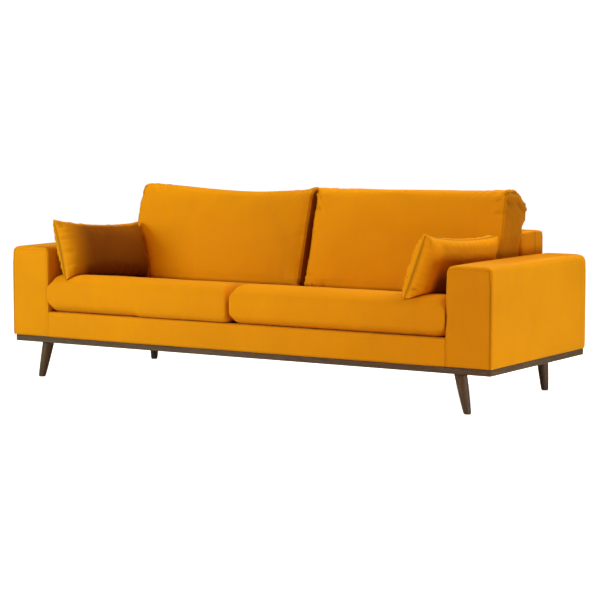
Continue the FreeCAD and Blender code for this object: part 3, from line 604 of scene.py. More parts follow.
PANEL_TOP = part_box("base_front_cover")[1][2]
SEAM_INSET = 8 * MM
BASE_LINE = 5 * MM
TUCK_IN, TUCK_HEIGHT = 2.5 * MM, 9 * MM
COVER_RIPPLE = 0.8 * MM
BELOW_FRAME = (0, 0, 0.1)

# edge radii of an arm, across it and along it
ARM_REAR_ROUND = (20 * MM, 24 * MM)
ARM_FRONT_ROUND = (11 * MM, 10 * MM)
ARM_TOP_ROUND = 30 * MM
ARM_FLUSH_ROUND = 1.5 * MM
ARM_ROUND_LINES = (2 * MM, 5 * MM, 9 * MM)
ARM_TOP_SWELL, ARM_END_SWELL, ARM_OUTSIDE_SWELL = 5 * MM, 2.0 * MM, 3 * MM
ARM_SEAM_DEPTH = 1.4 * MM


def arm_radii(flat, low, high, out):
    """Edge radii of an arm: small down the front, larger at the back, largest along the top."""
    along, up = flat[:, 1], flat[:, 2]
    depth = (low[1] + high[1]) / 2
    near_top = ease(up, high[2] - 75 * MM, high[2] - 35 * MM)
    at_rear = along > depth
    rx = np.where(at_rear, ARM_REAR_ROUND[0], ARM_FRONT_ROUND[0])
    rx = rx + (ARM_TOP_ROUND - rx) * near_top
    ry = np.where(at_rear, ARM_REAR_ROUND[1], ARM_FRONT_ROUND[1])
    inner_front = (out < out.mean()) & ~at_rear
    flush = np.where(inner_front, 1 - ease(up, PANEL_TOP, PANEL_TOP + 40 * MM), 0.0)
    rx = rx + (ARM_FLUSH_ROUND - rx) * flush
    ry = ry + (ARM_FLUSH_ROUND - ry) * flush
    return np.stack([rx, ry, np.full_like(rx, ARM_TOP_ROUND)], axis=1)


def tuck_in(piece, flat, floor):
    """Draws the cloth in where it turns under the frame."""
    points = get_points(piece)
    sideways = read_vectors(piece.data.vertices, "normal")
    sideways[:, 2] = 0
    sideways /= np.maximum(np.linalg.norm(sideways, axis=1, keepdims=True), 0.3)
    share = (1 - ease(flat[:, 2], floor, floor + TUCK_HEIGHT)) * (np.abs(sideways).max(axis=1) > 0.5)
    set_points(piece, points - sideways * (TUCK_IN * share)[:, None])


def arm_cover(side, sign):
    """A fitted arm: one band over the inside, top and outside, sewn to a front and a rear panel."""
    low, high = node_span(f"arm_cover_{side}")
    inset = [SEAM_INSET + line for line in SEAM_LINES]
    xs = marks(low[0], high[0], COVER_CELL, in_from_both(low[0], high[0], *inset))
    front_lines = [low[1] + i for i in ARM_ROUND_LINES]
    ys = marks(low[1], high[1], COVER_CELL, front_lines + [high[1] - i for i in inset])
    zs = marks(low[2], high[2], COVER_CELL, [high[2] - i for i in inset] + [low[2] + BASE_LINE])
    flat, faces = grid_box(xs, ys, zs)
    out = flat[:, 0] * sign
    shaped = round_off(flat, low - BELOW_FRAME, high, arm_radii(flat, low, high, out))
    piece = new_piece(f"arm_upholstery_{side}", shaped, faces, VELVET)

    across = hump(flat[:, 0], low[0], high[0])
    along = hump(flat[:, 1], low[1], high[1])
    up = hump(flat[:, 2], 2 * low[2] - high[2], high[2])
    on_top = flat[:, 2] > high[2] - EDGE
    on_end = (flat[:, 1] < low[1] + EDGE) | (flat[:, 1] > high[1] - EDGE)
    on_outside = out > out.max() - EDGE
    on_inside = out < out.min() + EDGE
    swell = ARM_TOP_SWELL * on_top * across ** 0.7 * along ** 0.5 + ARM_END_SWELL * on_end * across * up
    swell = swell + ARM_OUTSIDE_SWELL * on_outside * along ** 0.6 * up
    swell = swell + COVER_RIPPLE * rumple(flat, 0.17, 3 + sign) * ~on_inside * across ** 0.3
    push(piece, swell * (flat[:, 2] > low[2] + EDGE))

    to_top = high[2] - flat[:, 2]
    to_outer, to_inner = out.max() - out, out - out.min()
    seam = np.where(on_end, np.minimum(np.minimum(to_outer, to_inner), to_top) - SEAM_INSET, 1.0)
    from_corner = np.hypot(np.minimum(to_outer, to_inner), to_top)
    push(piece, groove(seam) * ARM_SEAM_DEPTH * ease(from_corner, 15 * MM, 45 * MM))
    dark = np.where(to_outer < 2 * SEAM_INSET, 0.5, 0.1)
    set_attribute(piece, "seam", bell(seam, SEAM_WIDTH) * dark)
    right_end = on_end * (side == "right")
    # painted shade: the arm's inside, and the right arm's front, darkened
    set_attribute(piece, "nap_and_shade", NAP_AND_PAINTED_SHADE["arm inside"] * on_inside + NAP_AND_PAINTED_SHADE["right arm front"] * right_end)
    tuck_in(piece, flat, low[2])
    subdivide(piece)
    upholster(piece, BODY, [f"arm_cover_{side}"])


BACKREST_ROUND = (8 * MM, 20 * MM, 20 * MM)
BACKREST_SWELL = 3 * MM
BACKREST_SEAM_DEPTH = 2 * MM
END_LINE = 4 * MM


def backrest_cover():
    """The fixed backrest: front and rear panels that meet at a seam over the top and down the ends."""
    low, high = node_span("back_cover_front", "back_cover_rear")
    seam_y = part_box("back_cover_rear")[0][1]
    ys = marks(low[1], high[1], COVER_CELL, [seam_y + line for line in SEAM_LINES])
    xs = marks(low[0], high[0], COVER_CELL * 1.5, in_from_both(low[0], high[0], END_LINE))
    zs = marks(low[2], high[2], COVER_CELL, [low[2] + BASE_LINE])
    flat, faces = grid_box(xs, ys, zs)
    shaped = round_off(flat, low - BELOW_FRAME, high, BACKREST_ROUND)
    piece = new_piece("backrest_upholstery", shaped, faces, VELVET)
    on_top = flat[:, 2] > high[2] - EDGE
    on_rear = flat[:, 1] > high[1] - EDGE
    along, up = hump(flat[:, 0], low[0], high[0]), hump(flat[:, 2], low[2], high[2])
    deep = hump(flat[:, 1], low[1], high[1])
    swell = BACKREST_SWELL * on_top * deep + BACKREST_SWELL * on_rear * along ** 0.5 * up
    swell = swell + COVER_RIPPLE * rumple(flat, 0.2, 11)
    push(piece, swell * (on_top | on_rear) * (flat[:, 2] > low[2] + EDGE))
    on_end = (flat[:, 0] < low[0] + EDGE) | (flat[:, 0] > high[0] - EDGE)
    seam = np.where(on_top | on_end, flat[:, 1] - seam_y, 1.0)
    push(piece, groove(seam) * BACKREST_SEAM_DEPTH)
    set_attribute(piece, "seam", bell(seam, SEAM_WIDTH) * 0.6)
    # painted shade: the backrest's ends darkened
    set_attribute(piece, "nap_and_shade", NAP_AND_PAINTED_SHADE["backrest end"] * on_end)
    tuck_in(piece, flat, low[2])
    subdivide(piece)
    upholster(piece, BODY, ["back_cover_front", "back_cover_rear"])


PANEL_WALL, PANEL_LIP, PANEL_BEND = 12 * MM, 3 * MM, 9 * MM
PANEL_SWELL = 2.5 * MM


def front_panel():
    """The panel under the seat cushions, with its lip turned back over the edge of the deck."""
    low, high = node_span("base_front_cover")
    wall, lip, turn = PANEL_WALL, PANEL_LIP, PANEL_BEND
    bend = [
        (low[1] + turn - turn * math.cos(a), high[2] - turn + turn * math.sin(a))
        for a in np.linspace(0, math.pi / 2, 7)
    ]
    rise = [(low[1], z) for z in marks(low[2], high[2] - turn, COVER_CELL / 2)[:-1]]
    run = [(y, high[2]) for y in marks(low[1] + turn, high[1], COVER_CELL)[1:]]
    inside = [(y, high[2] - lip) for y in reversed(marks(low[1] + wall, high[1], COVER_CELL))]
    drop = [(low[1] + wall, z) for z in reversed(marks(low[2], high[2] - lip, COVER_CELL)[:-1])]
    outline = rise + bend + run + inside + drop
    xs = marks(low[0], high[0], COVER_CELL, in_from_both(low[0], high[0], END_LINE))
    points = [(x, y, z) for x in xs for y, z in outline]
    piece = new_piece("front_panel_upholstery", points, lofted(len(xs), len(outline)), VELVET)
    with opened(piece.data) as mesh:
        bmesh.ops.recalc_face_normals(mesh, faces=mesh.faces)
    flat = get_points(piece)
    on_front = flat[:, 1] < low[1] + EDGE
    from_end = np.minimum(flat[:, 0] - low[0], high[0] - flat[:, 0])
    swell = PANEL_SWELL * hump(flat[:, 2], low[2] - 0.03, high[2]) + COVER_RIPPLE * rumple(flat, 0.14, 21)
    push(piece, swell * on_front * ease(from_end, 0, 0.05))
    # painted shade: darker toward the right end
    set_attribute(piece, "nap_and_shade", NAP_AND_PAINTED_SHADE["front panel, right"] * ease(flat[:, 0], low[0], high[0]))
    upholster(piece, BODY, ["base_front_cover"])


# ---------------------------------------------------------------- loose cushions

SEAT_FOOT_LEVEL = 398 * MM
SEAT_CROWN_REACH = 70 * MM
SEAT_TOP_ROUND = 46 * MM
SEAT_BOTTOM_ROUND, SPLIT_BOTTOM_ROUND = 34 * MM, 20 * MM
SEAT_END_SLACK = {"left": 18 * MM, "right": 31 * MM}
SEAT_CROWN_RISE = 9 * MM
SEAT_FRONT_FULL, SEAT_FRONT_BOW = 11 * MM, 4 * MM
SEAT_END_FULL = 6 * MM
SEAT_END_BULGE = 24 * MM
SEAT_SPLIT_SHIFT = 12 * MM
SEAT_RIPPLE = 0.9 * MM
BACK_FOOT_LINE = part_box("back_cushion_left")[0][1]


def seat_level(y):
    """The height of the seat cushions' top: a crown in front, and a fall to the back cushions' foot."""
    front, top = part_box("seat_cushion_left")[0][1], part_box("seat_cushion_left")[1][2]
    crown = front + SEAT_CROWN_REACH
    share = np.clip((y - crown) / (BACK_FOOT_LINE - crown), 0, 1)
    past = np.clip(1 - (y - front) / SEAT_TOP_ROUND, 0, 1)
    turned_down = SEAT_TOP_ROUND * (1 - np.sqrt(1 - past ** 2))
    crown_level = top + SEAT_CROWN_RISE
    return crown_level - (crown_level - SEAT_FOOT_LEVEL) * share ** 1.15 - turned_down


def seat_cushion(side):
    """A boxed seat cushion on the deck: full and rounded in front, sunk under the back cushions."""
    low, high = node_span(f"seat_cushion_{side}")
    low, high = low + 1 * MM, high - 1 * MM
    xs, ys, zs = (marks(low[axis], high[axis], CUSHION_CELL) for axis in range(3))
    flat, faces = grid_box(xs, ys, zs)
    middle = (low[2] + high[2]) / 2
    near_rim = ease(np.abs(flat[:, 2] - middle), 0.22 * (high[2] - low[2]), 0.42 * (high[2] - low[2]))
    at_split = (flat[:, 0] > (low[0] + high[0]) / 2) & (side == "left")
    bottom_round = np.where(at_split, SPLIT_BOTTOM_ROUND, SEAT_BOTTOM_ROUND)
    rx = np.where(at_split, 5 * MM + 17 * MM * near_rim, 7 * MM + SEAT_END_SLACK[side] * near_rim)
    rz = np.where(flat[:, 2] > middle, SEAT_TOP_ROUND, bottom_round)
    ry = np.where(at_split, 8 * MM + 20 * MM * near_rim, 14 * MM + 32 * MM * near_rim)
    points = round_off(flat, low, high, np.stack([rx, ry, rz], axis=1))
    wide, tall = hump(points[:, 0], low[0], high[0]), hump(points[:, 2], low[2], high[2])
    share = (points[:, 2] - low[2]) / (high[2] - low[2])
    flat_level = seat_level(np.maximum(points[:, 1], low[1] + SEAT_TOP_ROUND))
    points[:, 2] += (flat_level - high[2]) * share ** 1.3 * (0.6 + 0.4 * wide ** 0.3)
    front = 1 - ease(points[:, 1], low[1], low[1] + 0.09)
    points[:, 1] -= front * (SEAT_FRONT_FULL + SEAT_FRONT_BOW * wide ** 0.5) * tall ** 0.7
    arm_side = -1 if side == "left" else 1
    to_arm = 1 - ease(np.abs(points[:, 0] - (low if side == "left" else high)[0]), 0, 0.03)
    points[:, 0] += arm_side * SEAT_END_FULL * to_arm * front * tall ** 0.5
    return new_piece(f"seat_{side}", points, faces, VELVET), flat


def settle_seat(piece, flat, side):
    """Presses a filled seat cushion on the deck, the arm, the backrest and the cushion beside it."""
    low, high = node_span(f"seat_cushion_{side}")
    x, y, z = get_points(piece).T
    x = soft_limit(x, high[0] - 0.6 * MM, 5 * MM)
    x = soft_limit(x, low[0] + 0.6 * MM, 5 * MM, -1)
    past_arm = 1 - ease(y, low[1] - 9 * MM, low[1] - 1 * MM)
    split, end, outward = (high[0], low[0], -1) if side == "left" else (low[0], high[0], 1)
    x = x + outward * SEAT_END_BULGE * past_arm * (1 - ease(np.abs(x - end), 0, 0.06))
    x = x + SEAT_SPLIT_SHIFT * (1 - ease(np.abs(x - split), 0, 0.2))
    y = soft_limit(y, high[1] - 1.0 * MM, 6 * MM)
    z = soft_limit(z, low[2] + 0.6 * MM, 4 * MM, -1)
    pressed = ease(y, BACK_FOOT_LINE - 0.06, BACK_FOOT_LINE)
    z = z + (soft_limit(z, SEAT_FOOT_LEVEL - 0.4 * MM, 5 * MM) - z) * pressed
    set_points(piece, np.stack([x, y, z], axis=1))
    above = ease(z, low[2] + 0.01, low[2] + 0.05)
    push(piece, SEAT_RIPPLE * rumple(flat, 0.13, 31) * above * (1 - pressed))
    # painted shade: the seat tops darkened, and the right cushion darker toward its right end
    along = ease(x, low[0], high[0]) * (side == "right")
    on_top = ease(y, low[1] + 0.03, low[1] + 0.12)
    set_attribute(piece, "nap_and_shade", NAP_AND_PAINTED_SHADE["seat top"] * on_top + NAP_AND_PAINTED_SHADE["seat, right"] * along)
    subdivide(piece)
    upholster(piece, f"seat_cushion_{side}", [f"seat_cushion_{side}"])


BACK_BROW_REACH = 146 * MM
BACK_DEPTH = 170 * MM
BACK_FRONT_FULL = 12 * MM
BACK_TOP_FALL = 56 * MM
BACK_OVERHANG = 34 * MM
BACK_END_ROUND, FREE_CORNER_ROUND = 13 * MM, 52 * MM
END_SEAM = 9 * MM
END_SEAM_DEPTH = 1.6 * MM
SPLIT_FOOT, SPLIT_TOP = -24 * MM, 13 * MM
END_FOLD, FOOT_FOLD, EAR_FOLD, LOOSE_CLOTH = 4 * MM, 5 * MM, 10 * MM, 2.5 * MM
FOLD_REACH = 70 * MM


def top_line(side, t):
    """How far a back cushion's top sags below its highest corner, t from 0 to 1 along it."""
    if side == "right":
        return 3 * MM * np.sin(math.pi * t) - 5 * MM - 10 * MM * t
    return 22 * MM * np.sin(math.pi * t ** 1.35) ** 1.3 - 6 * MM * (1 - ease(t, 0.5, 1.0))


def back_cushion(side):
    """A boxed back cushion, leaning back: a full front, ends like gussets, and a top that falls away."""
    low, high = node_span(f"back_cushion_{side}")
    depth, height = BACK_DEPTH, high[2] - SEAT_FOOT_LEVEL - 3 * MM
    box_low = np.array((low[0] + 1 * MM, 0.0, 0.0))
    box_high = np.array((high[0] - 1 * MM, depth, height))
    ends = [END_SEAM + line for line in SEAM_LINES]
    xs = marks(box_low[0], box_high[0], CUSHION_CELL, in_from_both(box_low[0], box_high[0], *ends))
    ys = marks(0.0, depth, CUSHION_CELL)
    zs = marks(0.0, height, CUSHION_CELL)
    flat, faces = grid_box(xs, ys, zs)

    upper, rear = flat[:, 2] > height / 2, flat[:, 1] > depth / 2
    at_left = flat[:, 0] < (low[0] + high[0]) / 2
    free_corner = at_left & upper & (side == "left")
    near_top = ease(flat[:, 2], height - 0.09, height - 0.03)
    rx = BACK_END_ROUND + np.where(free_corner, FREE_CORNER_ROUND * near_top, 0.0)
    ry = np.where(rear, 36 * MM, 22 * MM)
    rz = np.where(upper, np.where(rear, 40 * MM, 24 * MM), 12 * MM)
    rz = np.where(free_corner, 44 * MM, rz)
    shaped = round_off(flat, box_low, box_high, np.stack([rx, ry, rz], axis=1))

    x, share, rise = shaped[:, 0], shaped[:, 1] / depth, shaped[:, 2] / height
    foot = low[1] - 6 * MM
    brow = high[1] - BACK_BROW_REACH
    full = hump(x, low[0], high[0]) ** 0.4 * hump(rise, -0.10, 1.03) ** 0.6
    front = foot + (brow - foot) * rise - BACK_FRONT_FULL * full
    back = high[1] - 2 * MM + BACK_OVERHANG * ease(rise, 0.62, 0.78)
    y = front + (back - front) * share
    t = np.clip((x - low[0]) / (high[0] - low[0]), 0, 1)
    fall = BACK_TOP_FALL * ease(share, 0.30, 1.02) * ease(rise, 0.55, 1.0)
    z = SEAT_FOOT_LEVEL + height * rise - fall - top_line(side, t) * ease(rise, 0.3, 1.0)

    from_split = 1 - t if side == "left" else t
    leaning = SPLIT_FOOT + (SPLIT_TOP - SPLIT_FOOT) * rise
    x = x + leaning * (1 - ease(from_split, 0.0, 0.6))
    if side == "left":
        x = x - (15 * MM - 18 * MM * ease(rise, 0.5, 1.0)) * ease(from_split, 0.75, 1.0)
    else:
        x = x + 12 * MM * ease(from_split, 0.94, 1.0) * ease(rise, 0.45, 0.6)
    return new_piece(f"back_{side}", np.stack([x, y, z], axis=1), faces, VELVET), flat


def end_seam(flat):
    """How far each point of a boxed cushion is from the seam round its nearer end."""
    inner, outer = flat[:, 0].min(), flat[:, 0].max()
    return np.minimum(flat[:, 0] - inner, outer - flat[:, 0]) - END_SEAM


def press_back(points, side):
    """Keeps a back cushion on the seat, off the backrest and clear of what stands beside it."""
    low, high = node_span(f"back_cushion_{side}")
    x, y, z = points.T
    rise = np.clip((z - SEAT_FOOT_LEVEL) / (high[2] - SEAT_FOOT_LEVEL), 0, 1)
    split = SPLIT_FOOT + (SPLIT_TOP - SPLIT_FOOT) * rise
    if side == "right":
        arm_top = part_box("arm_cover_right")[1][2]
        above_arm = ease(z, arm_top - 0.01, arm_top + 0.07)
        x = soft_limit(x, high[0] - 0.8 * MM + 18 * MM * above_arm, 5 * MM)
        x = x + np.maximum(low[0] + split + 0.8 * MM - x, 0)
    else:
        x = x - np.maximum(x - (high[0] + split - 0.8 * MM), 0)
    top_of_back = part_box("back_cover_front")[1][2]
    board = high[1] - 0.6 * MM + 36 * MM * ease(z, top_of_back + 0.002, top_of_back + 0.045)
    y = soft_limit(y, board, 6 * MM)
    z = soft_limit(z, SEAT_FOOT_LEVEL + 0.5 * MM, 4 * MM, -1)
    return np.stack([x, y, z], axis=1)


def settle_back(piece, flat, side, seed):
    """Works the folds into a filled back cushion and presses it into its place."""
    flat = np.stack(refine(piece, *flat.T), axis=1)
    seam = end_seam(flat)
    down, up = flat[:, 2].max() - flat[:, 2], flat[:, 2] - flat[:, 2].min()
    near_corner = np.exp(-np.minimum(down * 1.6, up) / FOLD_REACH)
    folds = gathers(flat[:, 1] + flat[:, 2], seam, pitch=17 * MM, reach=30 * MM, seed=seed)
    folds = folds * (0.2 + 0.8 * near_corner)
    foot_folds = gathers(flat[:, 0], up, pitch=19 * MM, reach=45 * MM, seed=seed + 3) * bell(seam, 0.11)
    ear = 1.3 * np.exp(-np.hypot(seam + END_SEAM, down) / FOLD_REACH)
    slanting = np.stack([seam - down, seam * 0.3, down * 0.3], axis=1)
    ear_folds = ear * rumple(slanting, (0.026, 0.2, 0.2), seed)
    loose = rumple(flat, (0.16, 0.09, 0.09), seed)
    creases = folds * END_FOLD + foot_folds * FOOT_FOLD + ear_folds * EAR_FOLD
    push(piece, groove(seam) * END_SEAM_DEPTH + creases + loose * LOOSE_CLOTH)
    set_points(piece, press_back(get_points(piece), side))
    # dark end seams, with painted shade in the creases
    set_attribute(piece, "seam", bell(seam, SEAM_WIDTH) * 0.4 + 0.5 * ease(-creases, 0.8 * MM, 4 * MM))
    # painted light and shade: the ends darkened, the left cushion's inner end most, and each cushion graded
    # lighter toward its left
    gusset = ease(-seam, 0, END_SEAM)
    along = ease(flat[:, 0], flat[:, 0].min(), flat[:, 0].max())
    painted_gusset_shade = gusset * (NAP_AND_PAINTED_SHADE["back gusset"] + (side == "left") * NAP_AND_PAINTED_SHADE["back left, inner gusset"] * along)
    at_start, at_end = NAP_AND_PAINTED_SHADE[f"back {side}"]
    set_attribute(piece, "nap_and_shade", at_start + (at_end - at_start) * along - painted_gusset_shade)
    upholster(piece, f"back_cushion_{side}", [f"back_cushion_{side}"])


PILLOW_LENGTH, PILLOW_WIDTH, PILLOW_HALF = 452 * MM, 262 * MM, 58 * MM
PILLOW_OVER_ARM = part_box("arm_cover_left")[1][2] - 25 * MM
PILLOW_PAST_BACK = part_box("back_cushion_left")[0][0] - 60 * MM
PILLOW_END_FOLD, PILLOW_SIDE_FOLD, PILLOW_DENT = 4.5 * MM, 3 * MM, 3.5 * MM

# A pillow's corners in millimetres: X from the arm's inside face, Y, and Z over the floor.
PILLOW_CORNERS = {
    "left": {
        "front foot": (89, -424, 419),
        "front top": (26, -428, 683),
        "rear foot": (205, 24, 404),
        "rear top": (132, 40, 655),
    },
    "right": {
        "front foot": (187, -424, 417),
        "front top": (88, -428, 676),
        "rear foot": (98, 20, 402),
        "rear top": (6, 26, 653),
    },
}


def pillow(side):
    """A knife-edge pillow, flat in the YZ plane: two sheets sewn at the rim, full to the ends."""
    def lines(length):
        steps = np.linspace(-1, 1, round(length / PILLOW_CELL) + 1)
        return 0.5 * steps + 0.5 * np.sin(math.pi / 2 * steps)

    us, vs = lines(PILLOW_LENGTH), lines(PILLOW_WIDTH)
    nu, nv = len(us), len(vs)
    index, spots, faces = {}, [], []
    for layer in (-1, 1):
        for i in range(nu):
            for j in range(nv):
                rim = i in (0, nu - 1) or j in (0, nv - 1)
                key = (0 if rim else layer, i, j)
                if key not in index:
                    index[key] = len(spots)
                    spots.append((key[0], us[i], vs[j]))
        for i in range(nu - 1):
            for j in range(nv - 1):
                loop = [(i, j), (i + 1, j), (i + 1, j + 1), (i, j + 1)]
                face = [index.get((layer, *spot), index.get((0, *spot))) for spot in loop]
                faces.append(face if layer > 0 else face[::-1])
    layer, u, v = np.array(spots).T
    room = np.maximum((1 - np.abs(u) ** 8) * (1 - np.abs(v) ** 2.6), 0)
    thick = layer * PILLOW_HALF * room ** 0.5
    along = PILLOW_LENGTH / 2 * u * (1 - 0.02 * (1 - v ** 2) * u ** 2)
    tall = PILLOW_WIDTH / 2 * v * (1 - 0.12 * (1 - u ** 2) * v ** 2)
    piece = new_piece(f"lumbar_pillow_{side}", np.stack([thick, along, tall], axis=1), faces, VELVET)
    return piece, (layer, u, v)


def settle_pillow(piece, spots, side, sign):
    """Hangs a filled pillow between its four corners, pressed on the seat and clear of the arm."""
    layer, u, v = refine(piece, *spots)
    rim_u = (1 - np.abs(u)) * PILLOW_LENGTH / 2
    rim_v = (1 - np.abs(v)) * PILLOW_WIDTH / 2
    to_rim = np.minimum(rim_u, rim_v)
    round_end, round_side = v * PILLOW_WIDTH / 2 + layer, u * PILLOW_LENGTH / 2 + layer
    end_folds = gathers(round_end, rim_u, pitch=17 * MM, reach=26 * MM, seed=51 + sign)
    side_folds = gathers(round_side, rim_v, pitch=19 * MM, reach=30 * MM, seed=57 + sign)
    folds = (end_folds * PILLOW_END_FOLD + side_folds * PILLOW_SIDE_FOLD) * ease(to_rim, 0, 0.008)
    dents = rumple(get_points(piece), 0.11, 61 + sign) * ease(to_rim, 0, 0.05)
    push(piece, folds + dents * PILLOW_DENT)

    arm_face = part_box(f"seat_cushion_{side}")[0 if sign < 0 else 1][0]
    spot = {
        name: np.array((arm_face - sign * x * MM, y * MM, z * MM))
        for name, (x, y, z) in PILLOW_CORNERS[side].items()
    }
    thick, along, tall = get_points(piece).T
    a = (along / PILLOW_LENGTH + 0.5)[:, None]
    b = (tall / PILLOW_WIDTH + 0.5)[:, None]
    foot = spot["front foot"] + (spot["rear foot"] - spot["front foot"]) * a
    top = spot["front top"] + (spot["rear top"] - spot["front top"]) * a
    way_along = spot["rear foot"] - spot["front foot"]
    normal = np.cross(top - foot, way_along)
    normal /= -np.linalg.norm(normal, axis=1, keepdims=True)
    points = foot + (top - foot) * b + normal * thick[:, None]
    x, y, z = points.T
    z = soft_limit(z, seat_level(y) + 1.5 * MM, 6 * MM, -1)
    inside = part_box(f"arm_cover_{side}")[1 if sign < 0 else 0][0] - sign * 1.5 * MM
    beside = soft_limit(x, inside, 8 * MM, sign)
    x = x + (beside - x) * (1 - ease(z, PILLOW_OVER_ARM, PILLOW_OVER_ARM + 0.03))
    in_front = soft_limit(y, BACK_FOOT_LINE - 22 * MM + 0.14 * np.maximum(z - 0.45, 0), 8 * MM)
    if side == "right":
        y = in_front
    else:
        y = y + (in_front - y) * ease(x, PILLOW_PAST_BACK, PILLOW_PAST_BACK + 0.03)
    set_points(piece, np.stack([x, y, z], axis=1))
    low_down = ease(-v, -1, 1)
    from_front = (1 + u) * PILLOW_LENGTH / 2
    facing = np.where(v < -0.85, 1.0, layer)
    outward = ease(facing * np.where(v > 0, to_rim, rim_u), 0.004, 0.03)
    seam = bell(to_rim, 1.4 * MM) * 0.6
    if side == "left":
        # painted shade: the left pillow's face toward the seat's middle darkened, most toward its foot
        away = outward * ease(from_front, -0.03, 0.14)
        seam = seam + away * (0.12 + 0.42 * low_down)
        nap_and_shade = NAP_AND_PAINTED_SHADE["left pillow, away"] * away
    else:
        # painted shade on the right pillow's face toward the arm, a painted shadow low in the gap beside the
        # arm, and the pillow lightened overall
        behind = outward * ease(from_front, 0.05, 0.10)
        painted_gap_shadow = behind * ease(-v, -0.3, 0.3)
        seam = seam + painted_gap_shadow * 0.4
        nap_and_shade = NAP_AND_PAINTED_SHADE["right pillow"] + NAP_AND_PAINTED_SHADE["right pillow, behind"] * behind
        nap_and_shade = nap_and_shade + NAP_AND_PAINTED_SHADE["right pillow, in the gap"] * painted_gap_shadow
    # dark rim seam, with painted shade in the fold creases
    set_attribute(piece, "seam", seam + 0.3 * ease(-folds, 0.8 * MM, 3 * MM))
    set_attribute(piece, "nap_and_shade", nap_and_shade)
    upholster(piece, f"pillow_{side}", [f"pillow_{side}"])


# stuffing pressure, and how far a cushion may swell
SEAT_FILLING = (2.5, 5 * MM)
BACK_FILLING = (3.0, 7 * MM)
PILLOW_FILLING = (5.0, 6 * MM)
END_SEAM_SHRINK, RIM_SHRINK = 0.02, 0.035


CLOTH = {
    "quality": 6,
    "mass": 0.25,
    "tension_damping": 8,
    "compression_damping": 8,
    "shear_damping": 8,
    "air_damping": 2,
    "use_pressure": True,
}


def add_cloth(piece, pressure, shrink=None, stretch=20.0, bending=0.4):
    """Cloth that stuffing pushes out evenly. shrink is the points on tight seams, and by how much."""
    cloth = piece.modifiers.new("Cloth", "CLOTH")
    settings = cloth.settings
    for name, value in CLOTH.items():
        setattr(settings, name, value)
    settings.tension_stiffness = stretch
    settings.compression_stiffness = stretch
    settings.shear_stiffness = stretch / 3
    settings.bending_stiffness = bending
    settings.uniform_pressure_force = pressure
    settings.effector_weights.gravity = 0
    cloth.collision_settings.use_collision = False
    if shrink is not None:
        members, most = shrink
        tight = piece.vertex_groups.new(name="tight")
        tight.add([int(i) for i in members], 1.0, "REPLACE")
        settings.vertex_group_shrink = "tight"
        settings.shrink_min = 0.0
        settings.shrink_max = most


def fill_cushions(caps):
    """Runs the cloth of all the cushions together and keeps the result. caps: how far each may swell."""
    started = {piece: get_points(piece) for piece in caps}
    for number in range(1, SIM_FRAMES + 1):
        bpy.context.scene.frame_set(number)
    graph = bpy.context.evaluated_depsgraph_get()
    filled = {piece: read_vectors(piece.evaluated_get(graph).data.vertices, "co") for piece in caps}
    for piece, cap in caps.items():
        piece.modifiers.clear()
        piece.vertex_groups.clear()
        move = filled[piece] - started[piece]
        far = np.maximum(np.linalg.norm(move, axis=1, keepdims=True), 1e-9)
        set_points(piece, started[piece] + move / far * cap * np.tanh(far / cap))
    bpy.context.scene.frame_set(1)


def make_cushions():
    seats = {side: seat_cushion(side) for side in SIDES}
    backs = {side: back_cushion(side) for side in SIDES}
    pillows = {side: pillow(side) for side in SIDES}
    caps = {}
    for piece, flat in seats.values():
        pressure, caps[piece] = SEAT_FILLING
        add_cloth(piece, pressure)
    for piece, flat in backs.values():
        at_seam = np.nonzero(np.abs(end_seam(flat)) < EDGE)[0]
        pressure, caps[piece] = BACK_FILLING
        add_cloth(piece, pressure, (at_seam, END_SEAM_SHRINK))
    for piece, spots in pillows.values():
        at_rim = np.nonzero(spots[0] == 0)[0]
        pressure, caps[piece] = PILLOW_FILLING
        add_cloth(piece, pressure, (at_rim, RIM_SHRINK), stretch=30.0, bending=0.2)
    fill_cushions(caps)
    for side, sign in SIDES.items():
        settle_seat(*seats[side], side)
        settle_back(*backs[side], side, 41 + sign)
        settle_pillow(*pillows[side], side, sign)


# ---------------------------------------------------------------- plinth and legs

RAIL_BEVEL = 1.6 * MM
LEG_EDGE, LEG_SWELL = 2 * MM, 0.9 * MM
LEG_SIDES = 48


def plinth_rail(side, along):
    """A rail of the plinth with its sharp edges broken."""
    node = f"plinth_{side}"
    data = bpy.data.meshes.new(f"{node}_rail")
    with opened(frame["nodes"][node].data, data) as mesh:
        bmesh.ops.remove_doubles(mesh, verts=mesh.verts, dist=EDGE)
        bmesh.ops.dissolve_limit(mesh, angle_limit=math.radians(1), verts=mesh.verts, edges=mesh.edges)
    data.materials.clear()
    data.materials.append(wood(f"walnut {side} rail", WALNUT_LIGHT, WALNUT_DARK, along))
    piece = add_object(f"{node}_rail", data)
    bevel = piece.modifiers.new("Broken edges", "BEVEL")
    bevel.width = RAIL_BEVEL
    bevel.segments = 3
    bevel.limit_method = "ANGLE"
    bevel.angle_limit = math.radians(50)
    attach(piece, BODY)
    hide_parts(node)


def leg_ring(points, z):
    """The centre and radius of a leg at its top or its foot."""
    ring = points[np.abs(points[:, 2] - z) < 1e-5]
    low, high = ring[:, :2].min(axis=0), ring[:, :2].max(axis=0)
    return (low + high) / 2, (high[0] - low[0]) / 2


